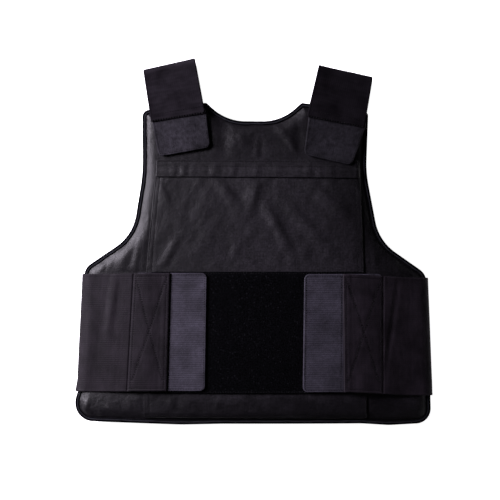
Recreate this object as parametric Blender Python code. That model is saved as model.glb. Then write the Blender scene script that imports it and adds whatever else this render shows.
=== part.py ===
"""Stab vest lying on its back: a padded front panel arched over a padded back panel,
joined by two shoulder straps and two elastic side bands that close on a loop field.

Metres, +Z up. The front faces +Z, the neck points to +Y and the wearer's left side is +X.
Tables and driving dimensions are written in millimetres times MM.
"""

import math
from collections import namedtuple

import bmesh
import bpy
from mathutils import Vector
from mathutils.geometry import delaunay_2d_cdt

MM = 0.001

# Cut outline of both panels, counter-clockwise from the neckline: a polygon in millimetres
# whose corners are arcs of the given radius. The vest lies a little uneven, so the sides differ.
Corner = namedtuple("Corner", "name x y radius")
OUTLINE = [
    Corner("right neckline", -34.5, 153.4, 62),
    Corner("right neck point", -60.5, 177, 4),
    Corner("right shoulder point", -142, 168.5, 8),
    Corner("right armhole", -141, 80, 170),
    Corner("right underarm", -154, 7.5, 60),
    Corner("right hip", -215.5, -36, 24),
    Corner("right side", -223.5, -185, 300),
    Corner("right hem corner", -228, -230.5, 29),
    Corner("left hem corner", 226.5, -231.5, 19),
    Corner("left side", 225.5, -185, 300),
    Corner("left hip", 220, -41, 19),
    Corner("left underarm", 159.5, 1, 44),
    Corner("left armhole", 143, 88, 150),
    Corner("left shoulder point", 146, 165.5, 6),
    Corner("left neck point", 61, 177, 4),
    Corner("left neckline", 35, 153.4, 62),
]

# The panels: soft protective packs sewn into a cloth carrier
PANEL_THICKNESS = 10 * MM
FLANGE_THICKNESS = 2.6 * MM
FLANGE_END = 7 * MM
PANEL_EDGE = 2 * MM
SWELL_END = 18 * MM
LAYER_RAMP_END = 13 * MM
HALF_WIDTH = 226 * MM
BACK_INSET = 3 * MM
BACK_LIFT = 3.3 * MM
FRONT_EDGE_MID = 22.5 * MM
FRONT_BOW = 28 * MM
BOW_POWER = 2.2
SHOULDER_DROOP = 0.5
HEM_DROOP = 0.12

# The binding tape folded over both panels' edges
BINDING_DEPTH = 6 * MM
BINDING_HALF = 2.6 * MM
BINDING_WALL = 1 * MM

# Layers on the front, and the play between neighbours
GAP = 0.5 * MM
UNDER_GAP = 0.8 * MM
POCKET_CLOTH = 1.2 * MM
FLAP_CLOTH = 1.3 * MM
FIELD_PILE = 1.5 * MM
TAB_THICKNESS = 2 * MM
ELASTIC_THICKNESS = 1.8 * MM
SHOULDER_LOOP_PILE = 1.2 * MM

POCKET = [
    Corner("top right", -123, 88, 2),
    Corner("right hem bend", -134.5, -211, 2),
    Corner("bottom right", -135, -223.5, 3),
    Corner("bottom left", 142, -224.5, 3),
    Corner("left hem bend", 141.6, -212, 2),
    Corner("top left", 135, 88, 2),
]
FLAP = [
    Corner("top right", -123.5, 104, 2),
    Corner("bottom right", -124.5, 82.5, 2),
    Corner("bottom left", 135, 81, 2),
    Corner("top left", 134.5, 103, 2),
]
FLAP_STEP_FROM = 1 * MM
FLAP_STEP_TO = 8 * MM
LOOP_FIELD = [
    Corner("top right", -130, -38, 2),
    Corner("bottom right", -132.5, -192.5, 2),
    Corner("bottom left", 140, -192.5, 2),
    Corner("top left", 137.5, -38, 2),
]
TAB_SLOPE_FROM = 4 * MM
TAB_SLOPE_TO = 16 * MM

# One row for each side band, in millimetres: the hook tab lies on the field and the elastic
# is sewn over its outer half, then goes round the panels' side edge to the back
Band = namedtuple("Band", "name side tab_inner strap_end tab_outer top bottom droop")
BANDS = [
    Band("right", -1, 59.5, 108.5, 158, -39.5, -189.5, -1.5),
    Band("left", 1, 64, 116, 165, -41, -191, -5),
]
TAB_CORNER = 7
BAND_COLUMNS = 5
BAND_SEWN_FROM = 150 * MM
BAND_TURN = 12 * MM
BAND_EDGE_GAP = 0.8 * MM
BAND_STEP_FROM = 1 * MM
BAND_STEP_TO = 8 * MM

# One row for each shoulder strap: where its elastic ends on the front, the lean of strap and
# tab away from +Y, its width and how far it reaches past that end before it turns back
Strap = namedtuple("Strap", "name side foot_x foot_y lean tab_lean width reach tab_drop")
STRAPS = [
    Strap("right", -1, 97.4, 159, 10.3, 10.7, 66, 67, 45),
    Strap("left", 1, 106.5, 152.5, 11, 13.5, 70, 65.5, 49),
]
TAB_OVERLAP = 10 * MM
PATCH_MARGIN = 3 * MM
PATCH_ABOVE_TAB_END = 13 * MM
STRAP_COLUMNS = 4
STRAP_TURN = 13 * MM
STRAP_SEWN_TO = -62 * MM
STRAP_SAG = 2 * MM

# Main folds of the cloth: a row for each, in millimetres and degrees from +X
FOLD_CLEAR = 8 * MM
Fold = namedtuple("Fold", "name x y angle length width rise")
PANEL_FOLDS = [
    Fold("right underarm ridge", -146, -14, 82, 34, 9, 2.6),
    Fold("right underarm crease", -157, -20, 75, 34, 11, -1.6),
    Fold("right armhole ridge", -137, 2, 86, 60, 8, 2.0),
    Fold("left underarm ridge", 153, -22, 100, 34, 9, 1.8),
]
POCKET_FOLDS = [
    Fold("centre ridge", 6, 40, 93, 74, 22, 3.4),
    Fold("upper diagonal", 48, 22, -50, 96, 20, 3.2),
    Fold("lower diagonal", 84, 4, -42, 78, 22, 2.8),
    Fold("low left ridge", 34, -4, -62, 58, 20, 2.4),
    Fold("right corner ridge", -112, -16, 58, 46, 15, 3.0),
    Fold("right upper ridge", -92, 52, -40, 56, 20, 2.2),
    Fold("far left ridge", 118, 26, -62, 80, 18, 2.2),
]

# Facet sizes
SMALL_TURN = math.radians(2)
LINE_STEP = 30
ARC_STEP = 17
GRID = 26 * MM

COLOURS = {
    "carrier_nylon": ((0.022, 0.020, 0.026, 1), 0.62),
    "binding_tape": ((0.006, 0.006, 0.008, 1), 0.7),
    "loop_pile": ((0.003, 0.003, 0.004, 1), 0.95),
    "hook_backing": ((0.062, 0.060, 0.075, 1), 0.6),
    "elastic_webbing": ((0.018, 0.016, 0.021, 1), 0.75),
}


def smooth(low, high, value):
    """0 below low, 1 above high, and an even S curve between."""
    t = min(1.0, max(0.0, (value - low) / (high - low)))
    return t * t * (3 - 2 * t)


def spaced(first, last, count):
    """count values from first to last, both included."""
    return [first + (last - first) * k / (count - 1) for k in range(count)]


def edge_normals(corners):
    """Inward unit normal of the edge that leaves each corner of a counter-clockwise polygon."""
    normals = []
    for here, ahead in zip(corners, corners[1:] + corners[:1]):
        along = Vector((ahead.x - here.x, ahead.y - here.y)).normalized()
        normals.append(Vector((-along.y, along.x)))
    return normals


def inset_corners(corners, inset):
    """The same polygon with every edge moved in by inset millimetres and its arcs kept parallel."""
    normals = edge_normals(corners)
    moved = []
    for i, corner in enumerate(corners):
        before, after = normals[i - 1], normals[i]
        shift = (before + after) * (inset / (1 + before.dot(after)))
        convex = before.x * after.y - before.y * after.x > 0
        radius = max(0.4, corner.radius - inset) if convex else corner.radius + inset
        moved.append(Corner(corner.name, corner.x + shift.x, corner.y + shift.y, radius))
    return moved


def arc_ends(corners):
    """For each corner: its arc's centre, radius, first angle and turn."""
    arcs = []
    normals = edge_normals(corners)
    for i, corner in enumerate(corners):
        before, after = normals[i - 1], normals[i]
        turn = math.atan2(before.x * after.y - before.y * after.x, before.dot(after))
        inward = (before + after) / (1 + before.dot(after))
        side = 1 if turn > 0 else -1
        centre = Vector((corner.x, corner.y)) + inward * (corner.radius * side)
        first = math.atan2(-before.y * side, -before.x * side)
        arcs.append((centre, corner.radius, first, turn))
    return arcs


def ring(corners, inset=0.0, step=LINE_STEP):
    """Points in metres of the rounded outline moved in by inset metres.

    Every inset of one outline has the same number of points, so that rings join up.
    """
    base = arc_ends(corners)
    moved = arc_ends(inset_corners(corners, inset / MM))
    points = []
    for i, arc in enumerate(moved):
        turn = abs(arc[3])
        steps = max(1, round(base[i][1] * turn / ARC_STEP), round(turn / math.radians(32)))
        shares = spaced(0, 1, steps + 1) if turn > SMALL_TURN else [0.5]
        points += [arc_point(arc, share) for share in shares]
        next_arc = (i + 1) % len(moved)
        leave, meet = arc_point(base[i], 1), arc_point(base[next_arc], 0)
        start, end = points[-1], arc_point(moved[next_arc], 0)
        gaps = max(1, round((meet - leave).length / step))
        points += [start.lerp(end, k / gaps) for k in range(1, gaps)]
    return [p * MM for p in points]


def arc_point(arc, share):
    centre, radius, first, turn = arc
    angle = first + turn * share
    return centre + Vector((math.cos(angle), math.sin(angle))) * radius


def depth_inside(points, x, y):
    """Distance in metres from (x, y) to a closed outline, 0 outside it."""
    here = Vector((x, y))
    nearest, inside = 1.0, False
    for a, b in zip(points, points[1:] + points[:1]):
        along = b - a
        t = min(1.0, max(0.0, (here - a).dot(along) / max(along.length_squared, 1e-12)))
        nearest = min(nearest, (here - a - along * t).length)
        if (a.y > y) != (b.y > y) and x < a.x + (y - a.y) / (b.y - a.y) * (b.x - a.x):
            inside = not inside
    return nearest if inside else 0.0


def edge_x(points, y, side):
    """Where the outline's edge on one side lies at height y."""
    found = []
    for a, b in zip(points, points[1:] + points[:1]):
        if (a.y > y) != (b.y > y):
            found.append(side * (a.x + (y - a.y) / (b.y - a.y) * (b.x - a.x)))
    return side * max(found)


FRONT_EDGE = ring(OUTLINE)


def fold_height(folds, x, y):
    """Sum of the folds at (x, y): each is a smooth ridge, or a valley, along its own line."""
    total = 0.0
    for fold in folds:
        angle = math.radians(fold.angle)
        dx, dy = x / MM - fold.x, y / MM - fold.y
        along = abs(dx * math.cos(angle) + dy * math.sin(angle)) / (fold.length / 2)
        across = abs(dy * math.cos(angle) - dx * math.sin(angle)) / fold.width
        if along < 1 and across < 1:
            total += fold.rise * MM * (1 - along**2) ** 2 * (1 - across**2) ** 2
    return total


def half_swell(inset):
    """Half of a panel's thickness at a distance in from its cut edge: flange, then padding."""
    flat, full = FLANGE_THICKNESS / 2, PANEL_THICKNESS / 2
    t = min(1.0, max(0.0, (inset - FLANGE_END) / (SWELL_END - FLANGE_END)))
    return flat + (full - flat) * (1.25 * t - 0.25 * t**3)


def back_bottom(x, y):
    """Underside of the back panel: flat on the floor, lifted where straps pass below it."""
    lift = max(smooth(0.108, 0.148, abs(x)), smooth(0.045, 0.08, y))
    return BACK_LIFT * lift


def back_mid(x, y):
    return back_bottom(x, y) + PANEL_THICKNESS / 2


def front_mid(x, y):
    """Middle of the front panel: an arch from side to side that droops at shoulders and hem."""
    arch = max(0.0, 1 - (abs(x) / HALF_WIDTH) ** BOW_POWER)
    droop = SHOULDER_DROOP * smooth(0.0, 0.19, y) + HEM_DROOP * smooth(0.13, 0.24, -y)
    return FRONT_EDGE_MID + FRONT_BOW * arch * (1 - droop)


def front_body(x, y):
    """The front panel's outer face without its rounded edge."""
    return front_mid(x, y) + PANEL_THICKNESS / 2


def layer_base(x, y):
    """What the sewn-on layers lie on: the front panel, its rounded edge bridged by a ramp."""
    flat, full = FLANGE_THICKNESS / 2, PANEL_THICKNESS / 2
    ramp = (depth_inside(FRONT_EDGE, x, y) - FLANGE_END) / (LAYER_RAMP_END - FLANGE_END)
    return front_mid(x, y) + flat + (full - flat) * min(1.0, max(0.0, ramp))


def material(slot):
    found = bpy.data.materials.get(slot)
    if found:
        return found
    colour, roughness = COLOURS[slot]
    made = bpy.data.materials.new(slot)
    made.use_nodes = True
    shader = made.node_tree.nodes["Principled BSDF"]
    shader.inputs["Base Color"].default_value = colour
    shader.inputs["Roughness"].default_value = roughness
    shader.inputs["Metallic"].default_value = 0.0
    return made


def add_object(name, points, faces, slot):
    """One closed body from points and faces, its normals turned outwards."""
    mesh = bpy.data.meshes.new(name)
    mesh.from_pydata(points, [], faces)
    shape = bmesh.new()
    shape.from_mesh(mesh)
    bmesh.ops.triangulate(shape, faces=shape.faces)
    bmesh.ops.recalc_face_normals(shape, faces=shape.faces)
    shape.to_mesh(mesh)
    shape.free()
    mesh.materials.append(material(slot))
    mesh.shade_smooth()
    mesh.set_sharp_from_angle(angle=math.radians(40))
    made = bpy.data.objects.new(name, mesh)
    bpy.context.scene.collection.objects.link(made)
    return made


def grid_lines(points, grid):
    """Even grid lines in x and in y over an outline, about one grid apart."""
    lines = []
    for axis in (0, 1):
        low, high = min(p[axis] for p in points), max(p[axis] for p in points)
        steps = max(1, round((high - low) / grid))
        lines.append([low + (high - low) * k / steps for k in range(1, steps)])
    return lines


def plan_mesh(corners, insets, grid, columns, step):
    """Flat triangles over an outline: rings at the insets, then a grid, whose lines in x may be
    given as columns. Gives points as (x, y, inset), faces, and the size of the first ring."""
    rings = [ring(corners, inset, step) for inset in insets]
    count = len(rings[0])
    points = [(p.x, p.y, inset) for r, inset in zip(rings, insets) for p in r]
    faces = []
    for k in range(len(insets) - 1):
        for i in range(count):
            j = (i + 1) % count
            faces.append([k * count + i, k * count + j, (k + 1) * count + j, (k + 1) * count + i])
    inner = rings[-1]
    start = (len(insets) - 1) * count
    even, levels = grid_lines(inner, grid)
    seeds = list(inner)
    for x in columns or even:
        for y in levels:
            if depth_inside(inner, x, y) > (2 * MM if columns else 0.45 * grid):
                seeds.append(Vector((x, y)))
    border = [list(range(count))]
    _, _, triangles, origin, _, _ = delaunay_2d_cdt(seeds, [], border, 1, 1e-7)
    points += [(p.x, p.y, insets[-1]) for p in seeds[count:]]
    faces += [[start + origin[v][0] for v in triangle] for triangle in triangles]
    return points, faces, count


def plate(name, corners, top, bottom, slot, insets=(0.0,), grid=GRID, columns=(), step=LINE_STEP):
    """A closed sheet over an outline between two heights, top and bottom of (x, y, inset)."""
    plan, faces, count = plan_mesh(corners, insets, grid, columns, step)
    size = len(plan)
    points = [(x, y, top(x, y, d)) for x, y, d in plan]
    points += [(x, y, bottom(x, y, d)) for x, y, d in plan]
    under = [[size + v for v in reversed(face)] for face in faces]
    rim = [[(i + 1) % count, i, size + i, size + (i + 1) % count] for i in range(count)]
    return add_object(name, points, faces + under + rim, slot)


def panel(name, corners, mid, folds):
    """A padded panel: a thin sewn flange round its edge and a thick protective body."""
    insets = [PANEL_EDGE, FLANGE_END, (FLANGE_END + SWELL_END) / 2, SWELL_END]

    def top(x, y, inset):
        return mid(x, y) + half_swell(inset) + fold_height(folds, x, y) * (inset > FLANGE_END)

    def bottom(x, y, inset):
        return mid(x, y) - half_swell(inset)

    return plate(name, corners, top, bottom, "carrier_nylon", insets)


def binding(name, corners, mid):
    """Tape folded over a panel's edge: a U section swept round the whole outline."""
    inner = BINDING_HALF - BINDING_WALL
    section = [
        (BINDING_DEPTH, BINDING_HALF),
        (1.2 * MM, BINDING_HALF),
        (0.0, 0.0),
        (1.2 * MM, -BINDING_HALF),
        (BINDING_DEPTH, -BINDING_HALF),
        (BINDING_DEPTH, -inner),
        (PANEL_EDGE - 0.4 * MM, -inner),
        (PANEL_EDGE - 0.4 * MM, inner),
        (BINDING_DEPTH, inner),
    ]
    points = []
    for inset, height in section:
        points += [(p.x, p.y, mid(p.x, p.y) + height) for p in ring(corners, inset)]
    count = len(points) // len(section)
    faces = []
    for k in range(len(section)):
        a, b = k * count, (k + 1) % len(section) * count
        for i in range(count):
            j = (i + 1) % count
            faces.append([a + i, a + j, b + j, b + i])
    return add_object(name, points, faces, "binding_tape")


def strip(name, rows, thickness, slot):
    """A strap from a grid of points on its inner face, thickened away from what it wraps."""
    stations, across = len(rows), len(rows[0])
    outer = []
    for i, row in enumerate(rows):
        moved = []
        for j, point in enumerate(row):
            along = rows[min(i + 1, stations - 1)][j] - rows[max(i - 1, 0)][j]
            over = row[min(j + 1, across - 1)] - row[max(j - 1, 0)]
            moved.append(point + along.cross(over).normalized() * thickness)
        outer.append(moved)
    points = [p for row in rows + outer for p in row]
    size = stations * across
    faces = []
    for i in range(stations - 1):
        for j in range(across - 1):
            a = i * across + j
            face = [a, a + 1, a + across + 1, a + across]
            faces += [face, [size + v for v in reversed(face)]]
    border = list(range(across)) + [i * across + across - 1 for i in range(1, stations)]
    border += [(stations - 1) * across + j for j in range(across - 2, -1, -1)]
    border += [i * across for i in range(stations - 2, 0, -1)]
    for a, b in zip(border, border[1:] + border[:1]):
        faces.append([b, a, size + a, size + b])
    return add_object(name, points, faces, slot)


def pocket():
    """Plate pocket sewn to the front at its sides and hem; its cloth carries the main folds."""
    def bottom(x, y, inset):
        above_field = y > LOOP_FIELD[0].y * MM + FOLD_CLEAR
        folds = fold_height(POCKET_FOLDS, x, y) if inset > 0 and above_field else 0.0
        return layer_base(x, y) + GAP + folds

    def top(x, y, inset):
        return bottom(x, y, inset) + POCKET_CLOTH

    plate("plate_pocket", POCKET, top, bottom, "carrier_nylon", (0.0, 6 * MM, 12 * MM), 22 * MM, step=10.5)


def pocket_flap():
    """Strip sewn above the pocket that covers its mouth."""
    pocket_top = POCKET[0].y * MM

    def bottom(x, y, inset):
        over_pocket = 1 - smooth(pocket_top + FLAP_STEP_FROM, pocket_top + FLAP_STEP_TO, y)
        return layer_base(x, y) + GAP + (POCKET_CLOTH + GAP) * over_pocket

    def top(x, y, inset):
        return bottom(x, y, inset) + FLAP_CLOTH

    plate("pocket_flap", FLAP, top, bottom, "carrier_nylon", (0.0, 4 * MM), 9 * MM, step=9)


def loop_field():
    """Wide field of loop pile across the pocket, where the hook tabs fasten."""
    def bottom(x, y, inset):
        return front_body(x, y) + GAP + POCKET_CLOTH + GAP

    def top(x, y, inset):
        return bottom(x, y, inset) + FIELD_PILE

    plate("loop_field", LOOP_FIELD, top, bottom, "loop_pile")


def field_edge(side):
    return max(side * corner.x for corner in LOOP_FIELD) * MM


def slope_columns(band):
    """Where a side tab starts, is half way and ends coming down beside the loop field."""
    edge = field_edge(band.side)
    return spaced(edge + TAB_SLOPE_FROM, edge + TAB_SLOPE_TO, 3)


def tab_bottom(band, x, y):
    """Underside of a side tab: on the field, then down to the panel beside it."""
    stack = GAP + POCKET_CLOTH + GAP + FIELD_PILE
    first, _, last = slope_columns(band)
    return front_body(x, y) + GAP + stack * (1 - smooth(first, last, abs(x)))


def side_tab(band):
    """Hook tab of a side band; its inner corners are rounded."""
    inner, outer = band.side * band.tab_inner, band.side * band.tab_outer
    slopes = slope_columns(band)
    bends = [Corner("bend", band.side * x / MM, 0, 1) for x in slopes]
    corners = [Corner("top inner", inner, band.top, TAB_CORNER)]
    corners += [bend._replace(y=band.top) for bend in bends]
    corners += [
        Corner("top outer", outer, band.top, 1),
        Corner("bottom outer", outer - 2, band.bottom, 1),
    ]
    corners += [bend._replace(y=band.bottom) for bend in reversed(bends)]
    corners.append(Corner("bottom inner", inner - 2, band.bottom, TAB_CORNER))
    if band.side > 0:
        corners.reverse()
    columns = [band.side * x for x in (*spaced(band.tab_inner * MM, slopes[0], 5)[1:], *slopes[1:])]

    def bottom(x, y, inset):
        return tab_bottom(band, x, y)

    def top(x, y, inset):
        return tab_bottom(band, x, y) + TAB_THICKNESS

    plate(f"side_tab_{band.name}", corners, top, bottom, "hook_backing", grid=17 * MM, columns=columns)


def side_band(band):
    """Elastic from under the back panel, round the side edge and over the front to its tab."""
    tab_end, strap_end = band.tab_outer * MM, band.strap_end * MM
    step_from, step_to = tab_end + BAND_STEP_FROM, tab_end + BAND_STEP_TO
    rows = []
    for base in spaced(band.bottom * MM, band.top * MM, BAND_COLUMNS):
        y = base + band.droop * MM
        near = [abs(edge_x(FRONT_EDGE, y + offset, band.side)) for offset in spaced(-0.02, 0.02, 5)]
        edge = max(near) + BAND_EDGE_GAP
        turn = edge - BAND_TURN
        low, high = back_mid(edge, y), front_mid(edge, y)
        drop = low - back_bottom(turn, y) + UNDER_GAP
        rise = front_body(turn, y) + GAP - high
        path = [(x, back_bottom(x, y) - UNDER_GAP, y) for x in spaced(BAND_SEWN_FROM, turn, 4)]
        path += [(*around(turn, low, BAND_TURN, drop, angle), y) for angle in spaced(-67.5, 0, 4)]
        path += [(*around(turn, high, BAND_TURN, rise, angle), y) for angle in spaced(0, 90, 5)]
        stops = [turn - BAND_TURN, turn - 2 * BAND_TURN, *spaced(step_to, step_from, 3)]
        stops += [*reversed(slope_columns(band)), strap_end + BAND_STEP_TO, strap_end]
        for x in stops:
            at = base + band.droop * MM * smooth(strap_end, turn, x)
            over_tab = 1 - smooth(step_from, step_to, x)
            on_panel = front_body(x, at) + GAP
            on_tab = tab_bottom(band, x, at) + TAB_THICKNESS + GAP
            path.append((x, on_panel + (on_tab - on_panel) * over_tab, at))
        rows.append([Vector((band.side * x, at, z)) for x, z, at in path])
    grid = [list(station) for station in zip(*rows)]
    if band.side > 0:
        grid = [list(reversed(station)) for station in grid]
    strip(f"side_band_{band.name}", grid, ELASTIC_THICKNESS, "elastic_webbing")


def around(centre, height, reach_out, reach_up, degrees):
    """A point of an ellipse seen along the vest: how far out it lies, then how high."""
    angle = math.radians(degrees)
    return centre + reach_out * math.cos(angle), height + reach_up * math.sin(angle)


def strap_frame(strap, lean):
    """Foot, direction towards the fold and direction across, in plan."""
    angle = math.radians(lean)
    foot = Vector((strap.side * strap.foot_x, strap.foot_y)) * MM
    along = Vector((strap.side * math.sin(angle), math.cos(angle)))
    return foot, along, Vector((along.y, -along.x))


def strap_rectangle(strap, start, end, width, radius):
    """Corners of a patch along the strap's tab, from start to end measured from the foot."""
    foot, along, across = strap_frame(strap, strap.tab_lean)
    half = width / 2
    places = [(end, -half, 1), (start, -half, radius), (start, half, radius), (end, half, 1)]
    corners = []
    for along_by, across_by, corner_radius in places:
        at = (foot + along * along_by + across * across_by) / MM
        corners.append(Corner("patch", at.x, at.y, corner_radius))
    return corners


def shoulder_pieces(strap):
    """Loop patch on the panel, the hook tab that grips it, and the elastic over the shoulder."""
    drop, width = strap.tab_drop * MM, strap.width * MM
    loop_top = GAP + SHOULDER_LOOP_PILE
    patch_start, patch_width = PATCH_ABOVE_TAB_END - drop, width - 2 * PATCH_MARGIN
    patch = strap_rectangle(strap, patch_start, -PATCH_MARGIN, patch_width, 2)
    plate(
        f"shoulder_loop_{strap.name}", patch,
        lambda x, y, d: front_body(x, y) + loop_top,
        lambda x, y, d: front_body(x, y) + GAP,
        "loop_pile",
    )
    tab = strap_rectangle(strap, -drop, TAB_OVERLAP, width, TAB_CORNER)
    tab_under = loop_top + GAP
    plate(
        f"shoulder_tab_{strap.name}", tab,
        lambda x, y, d: front_body(x, y) + tab_under + TAB_THICKNESS,
        lambda x, y, d: front_body(x, y) + tab_under,
        "hook_backing",
    )
    shoulder_strap(strap, tab_under + TAB_THICKNESS + GAP)


def shoulder_strap(strap, foot_height):
    """Elastic sewn under the back shoulder, folded over at the top and down onto the tab."""
    foot, along, across = strap_frame(strap, strap.lean)
    reach = strap.reach * MM - ELASTIC_THICKNESS
    turn = reach - STRAP_TURN
    half_width = strap.width * MM / 2
    rows = []
    for side_step in spaced(-half_width, half_width, STRAP_COLUMNS):
        offset = across * side_step

        def place(s, z):
            at = foot + along * s + offset
            return Vector((at.x, at.y, z))

        def under(s):
            at = place(s, 0)
            return back_bottom(at.x, at.y) - UNDER_GAP

        def over(s):
            at = place(s, 0)
            return front_body(at.x, at.y) + foot_height - STRAP_SAG * smooth(0, turn, s)

        path = [place(s, under(s)) for s in spaced(STRAP_SEWN_TO, turn, 7)]
        middle, half = (over(turn) + under(turn)) / 2, (over(turn) - under(turn)) / 2
        for angle in spaced(-90, 90, 9)[1:-1]:
            path.append(place(*around(turn, middle, STRAP_TURN, half, angle)))
        path += [place(s, over(s)) for s in spaced(turn, 0.0, 5)]
        rows.append(path)
    grid = [list(station) for station in zip(*rows)]
    strip(f"shoulder_strap_{strap.name}", grid, ELASTIC_THICKNESS, "elastic_webbing")


def build():
    for old in list(bpy.data.objects):
        bpy.data.objects.remove(old)
    back_outline = inset_corners(OUTLINE, BACK_INSET / MM)
    panel("back_panel", back_outline, back_mid, [])
    binding("back_binding", back_outline, back_mid)
    panel("front_panel", OUTLINE, front_mid, PANEL_FOLDS)
    binding("front_binding", OUTLINE, front_mid)
    pocket()
    pocket_flap()
    loop_field()
    for band in BANDS:
        side_tab(band)
        side_band(band)
    for strap in STRAPS:
        shoulder_pieces(strap)


build()
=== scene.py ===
"""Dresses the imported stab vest: carrier cloth, edge tape, plate pocket, loop field, side bands,
hook tabs and shoulder straps, each built over its own solid, with their stitching.

Lengths are metres and +Z is up. Tables marked as millimetres are turned into metres where used.
The vest lies on its back: its neck points to +Y and the wearer's left side is +X.
"""

import math
from collections import namedtuple

import bmesh
import bpy
import numpy as np
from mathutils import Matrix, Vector
from mathutils.geometry import delaunay_2d_cdt


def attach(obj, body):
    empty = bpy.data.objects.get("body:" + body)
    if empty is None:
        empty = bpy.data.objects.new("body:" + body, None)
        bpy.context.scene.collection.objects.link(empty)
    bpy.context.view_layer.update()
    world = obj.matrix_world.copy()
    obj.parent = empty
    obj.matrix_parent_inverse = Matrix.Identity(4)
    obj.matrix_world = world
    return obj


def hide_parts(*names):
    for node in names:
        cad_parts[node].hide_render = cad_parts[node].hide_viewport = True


bl_info = {
    "name": "Stab Vest Dresser",
    "version": (1, 0, 0),
    "blender": (4, 5, 0),
    "location": "3D View > Sidebar > Vest",
    "description": "Builds a stab vest's cloth, webbing and stitching round its packed solids",
    "category": "Object",
}

MM = 0.001

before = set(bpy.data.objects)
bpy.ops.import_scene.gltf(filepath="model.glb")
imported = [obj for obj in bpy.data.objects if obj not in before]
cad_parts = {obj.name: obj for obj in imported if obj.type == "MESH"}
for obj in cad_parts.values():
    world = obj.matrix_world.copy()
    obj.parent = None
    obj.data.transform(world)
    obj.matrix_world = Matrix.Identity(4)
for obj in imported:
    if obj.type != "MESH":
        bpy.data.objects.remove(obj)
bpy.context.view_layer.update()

# Cut outline of both panels, counter-clockwise from the neckline, in millimetres
Corner = namedtuple("Corner", "name x y radius")
OUTLINE = [
    Corner("right neckline", -34.5, 153.4, 62),
    Corner("right neck point", -60.5, 177, 4),
    Corner("right shoulder point", -142, 167.3, 9),
    Corner("right armhole", -141.3, 86, 220),
    Corner("right underarm", -154, 8.2, 60),
    Corner("right hip", -216, -33.5, 18),
    Corner("right side", -223.3, -186, 60),
    Corner("right hem side", -227.8, -200, 15),
    Corner("right hem corner", -229.6, -228.4, 23),
    Corner("right hem", -92, -232.4, 300),
    Corner("hem middle", -40, -231.2, 300),
    Corner("hem beside the seam", 138, -231.2, 120),
    Corner("left hem", 172, -233.6, 100),
    Corner("left hem corner", 226.5, -231.2, 19),
    Corner("left side", 225.5, -185, 300),
    Corner("left hip", 220, -41, 19),
    Corner("left underarm", 159.5, 1, 62),
    Corner("left armhole", 143, 88, 150),
    Corner("left shoulder point", 146, 165.5, 6),
    Corner("left neck point", 61, 177, 4),
    Corner("left neckline", 35, 153.4, 62),
]

# Panels and what is sewn on them, as the solids have them
PANEL_THICKNESS = 10 * MM
FLANGE_THICKNESS = 2.6 * MM
FLANGE_END = 5.2 * MM
PANEL_EDGE = 2 * MM
SWELL_END = 18 * MM
LAYER_RAMP_END = 13 * MM
HALF_WIDTH = 226 * MM
BACK_INSET = 3 * MM
BACK_LIFT = 3.3 * MM
FRONT_EDGE_MID = 22.5 * MM
FRONT_BOW = 28 * MM
BOW_POWER = 2.2
SHOULDER_DROOP = 0.5
HEM_DROOP = 0.12
GAP = 0.5 * MM
UNDER_GAP = 0.8 * MM
POCKET_CLOTH = 1.2 * MM
FLAP_CLOTH = 1.3 * MM
FIELD_PILE = 1.5 * MM
TAB_THICKNESS = 2 * MM
ELASTIC_THICKNESS = 1.8 * MM
SHOULDER_LOOP_PILE = 1.2 * MM

# Four corners each, in millimetres: bottom right, bottom left, top left, top right of the wearer
POCKET = [(-139.5, -223.5), (143.5, -224.5), (135, 88), (-124.5, 88)]
FLAP = [(-124.5, 82.5), (135, 81), (134.5, 103), (-123.5, 104)]
LOOP_FIELD = [(-132.5, -192.5), (140, -192.5), (137.5, -38), (-130, -38)]
FLAP_STEP_FROM = 1 * MM
FLAP_STEP_TO = 8 * MM
TAB_SLOPE_FROM = 4 * MM
TAB_SLOPE_TO = 16 * MM

# One row for each side band, in millimetres. Where an end leans, it has a low and a top place.
Band = namedtuple(
    "Band", "name side tab_inner end_low end_top tab_low tab_top top bottom droop field_edge")
BANDS = [
    Band("right", -1, 59.5, 109.7, 105.5, 160.5, 152, -39.5, -189.5, -1.5, 132.5),
    Band("left", 1, 64, 114.0, 112.5, 164, 164, -41, -191, -5, 140),
]
TAB_CORNER = 7 * MM
BAND_SEWN_FROM = 150 * MM
BAND_TURN = 12 * MM
BAND_RIB = 2.7 * MM
BAND_CREASE = 0.8 * MM
BAND_DOUBLED = 0.35 * MM
BAND_ROW_DEPTH = 0.22 * MM
BAND_EDGE_GAP = 0.8 * MM
BAND_LANDS = 205 * MM

# Shoulder straps and their hook tabs, in millimetres: the two ends of the elastic's foot, of its
# fold at the top, and of the tab's lower edge and of the line where the elastic covers it. Each
# pair runs towards +X. The number picks the strap's own random waves.
Strap = namedtuple("Strap", "name waves foot fold tab_low tab_top")
STRAPS = [
    Strap(
        "right", 5, [(-130.6, 152.1), (-61.9, 163.0)], [(-141.0, 219.6), (-75.2, 234.5)],
        [(-120.9, 108.1), (-55.0, 119.6)], [(-129.2, 151.9), (-60.6, 162.8)]),
    Strap(
        "left", 4, [(67.3, 158.6), (140.6, 144.6)], [(83.3, 225.9), (151.7, 210.5)],
        [(63.7, 110.7), (124.7, 96.8)], [(69.5, 157.0), (141.2, 143.7)]),
]
TAB_OVERLAP = 10 * MM
STRAP_TURN = 5 * MM
STRAP_SEWN_TO = -62 * MM
STRAP_SAG = 2 * MM
STRAP_END_RISE = 0.5 * MM
STRAP_END_ROWS = (0.7 * MM, 1.25 * MM, 1.8 * MM, 9 * MM)

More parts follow.
